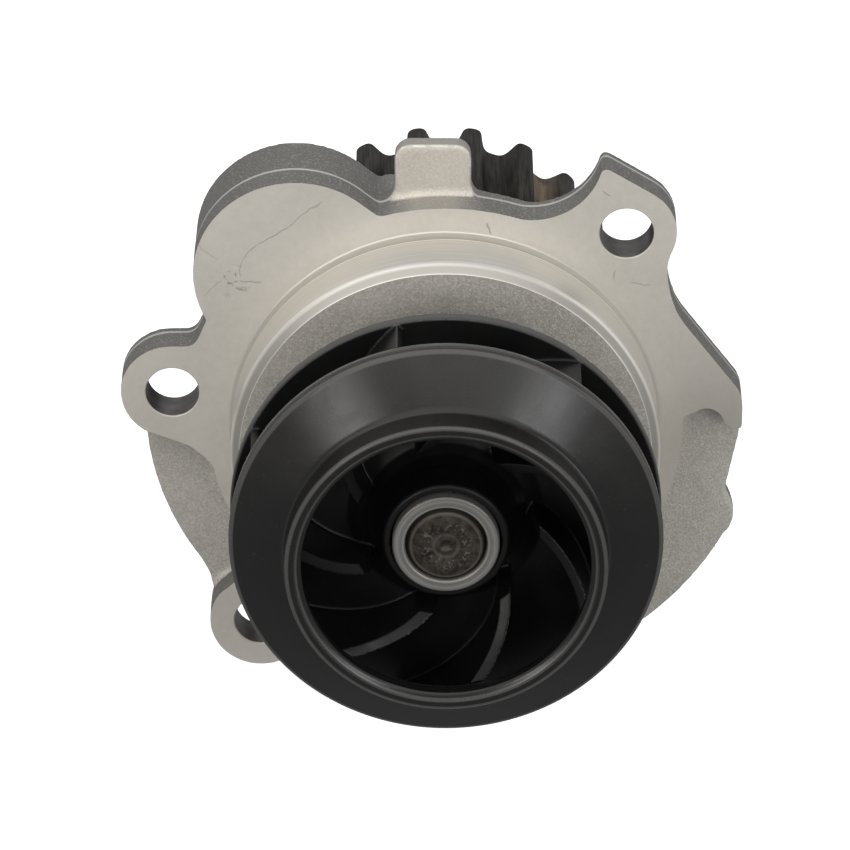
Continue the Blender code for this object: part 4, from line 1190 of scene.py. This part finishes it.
def as_sintered():
    """Steam-treated sintered steel: nearly black, streaked along the axis, one belt groove stained tan."""
    material, tree, shader, where = start_material("sintered_steel", (0.035, 0.031, 0.027), 0.4, 0.5)
    shader.inputs["Specular IOR Level"].default_value = 0.12
    streaks = noise(tree, stretch(tree, where, (1, 0.05, 1)), 2900, 2, 0.6)
    pores = noise(tree, where, 3600, 2, 0.7)
    cloud = noise(tree, stretch(tree, where, (1, 0.3, 1)), 190, 4, 0.6)
    colour = tint(tree, band(tree, streaks, 0.36, 0.64), (0.012, 0.0105, 0.0092), (0.056, 0.0495, 0.043))
    colour = tint(tree, band(tree, cloud, 0.45, 0.75, 0, 0.5), colour, (0.022, 0.0195, 0.017))
    across, _, up = split(tree, where)
    in_groove = close_to(tree, maths(tree, "ARCTAN2", up, across), STAINED_GROOVE, 0.05, 0.11)
    outside = band(tree, distance_from(tree, where), ROOT_RADIUS - 1.2 * MM, ROOT_RADIUS - 0.2 * MM)
    patch = band(tree, noise(tree, stretch(tree, where, (1, 0.5, 1)), 260, 4, 0.6), 0.30, 0.5)
    stained = times(tree, in_groove, outside, patch, band(tree, streaks, 0.3, 0.7, 0.6, 1))
    colour = tint(tree, stained, colour, (0.30, 0.225, 0.155))
    join_inputs(tree, shader, Base_Color=colour, Roughness=band(tree, cloud, 0.3, 0.7, 0.44, 0.62))
    bump(tree, shader, maths(tree, "ADD", streaks, times(tree, pores, 0.5)), 0.04 * MM, 0.6)
    return material


toothed_blank = slab(pulley_outline(), PULLEY_FRONT, PULLEY_REAR)
pulley = new_piece("sintered_pulley", softened(toothed_blank, 0.3 * MM, sharper=60))
front_space = [
    (0, PULLEY_FRONT - 1 * MM), (RIM_BORE + 0.9 * MM, PULLEY_FRONT - 1 * MM),
    (RIM_BORE + 0.9 * MM, PULLEY_FRONT), (RIM_BORE, PULLEY_FRONT + 0.9 * MM),
    (RIM_BORE, WEB_FRONT - 1 * MM), (RIM_BORE - 0.3 * MM, WEB_FRONT - 0.3 * MM),
    (RIM_BORE - 1 * MM, WEB_FRONT), (13.0 * MM, WEB_FRONT), (HUB_RADIUS + 0.3 * MM, WEB_FRONT - 0.3 * MM),
    (HUB_RADIUS, WEB_FRONT - 1 * MM), (HUB_RADIUS, HUB_FRONT), (0, HUB_FRONT),
]
rear_space = [
    (0, PULLEY_REAR + 1 * MM), (RIM_BORE + 0.5 * MM, PULLEY_REAR + 1 * MM),
    (RIM_BORE + 0.5 * MM, PULLEY_REAR), (RIM_BORE, PULLEY_REAR - 0.5 * MM),
    (RIM_BORE - 0.4 * MM, WEB_REAR), (HUB_RADIUS + 0.5 * MM, WEB_REAR),
    (HUB_RADIUS, PULLEY_REAR - 0.4 * MM), (0, PULLEY_REAR - 0.4 * MM),
]
bore = [
    *mm((0, 40), (9.2, 40)), (9.2 * MM, HUB_FRONT), (HUB_BORE, HUB_FRONT + 0.7 * MM),
    (HUB_BORE, PULLEY_REAR - 1 * MM), (9.0 * MM, PULLEY_REAR - 0.3 * MM), *mm((9.0, 55), (0, 55)),
]
web_hole = [
    *mm((0, 42), (3.6, 42)), (3.6 * MM, WEB_FRONT), (3.2 * MM, WEB_FRONT + 0.4 * MM),
    (3.2 * MM, WEB_REAR - 0.4 * MM), (3.6 * MM, WEB_REAR), *mm((3.6, 54), (0, 54)),
]
for cutter in (front_space, rear_space, bore):
    cut(pulley, turned(cutter, 128, closed=False))
for place in arc(AXIS, WEB_HOLES_RADIUS, 90, 378, 4):
    cut(pulley, shift(turned(web_hole, 48, closed=False), *place))
settle(pulley)
pulley.data.materials.clear()
pulley.data.materials.append(as_sintered())
smooth(pulley, 28)
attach(pulley, "rotor")
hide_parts("drive_pulley")
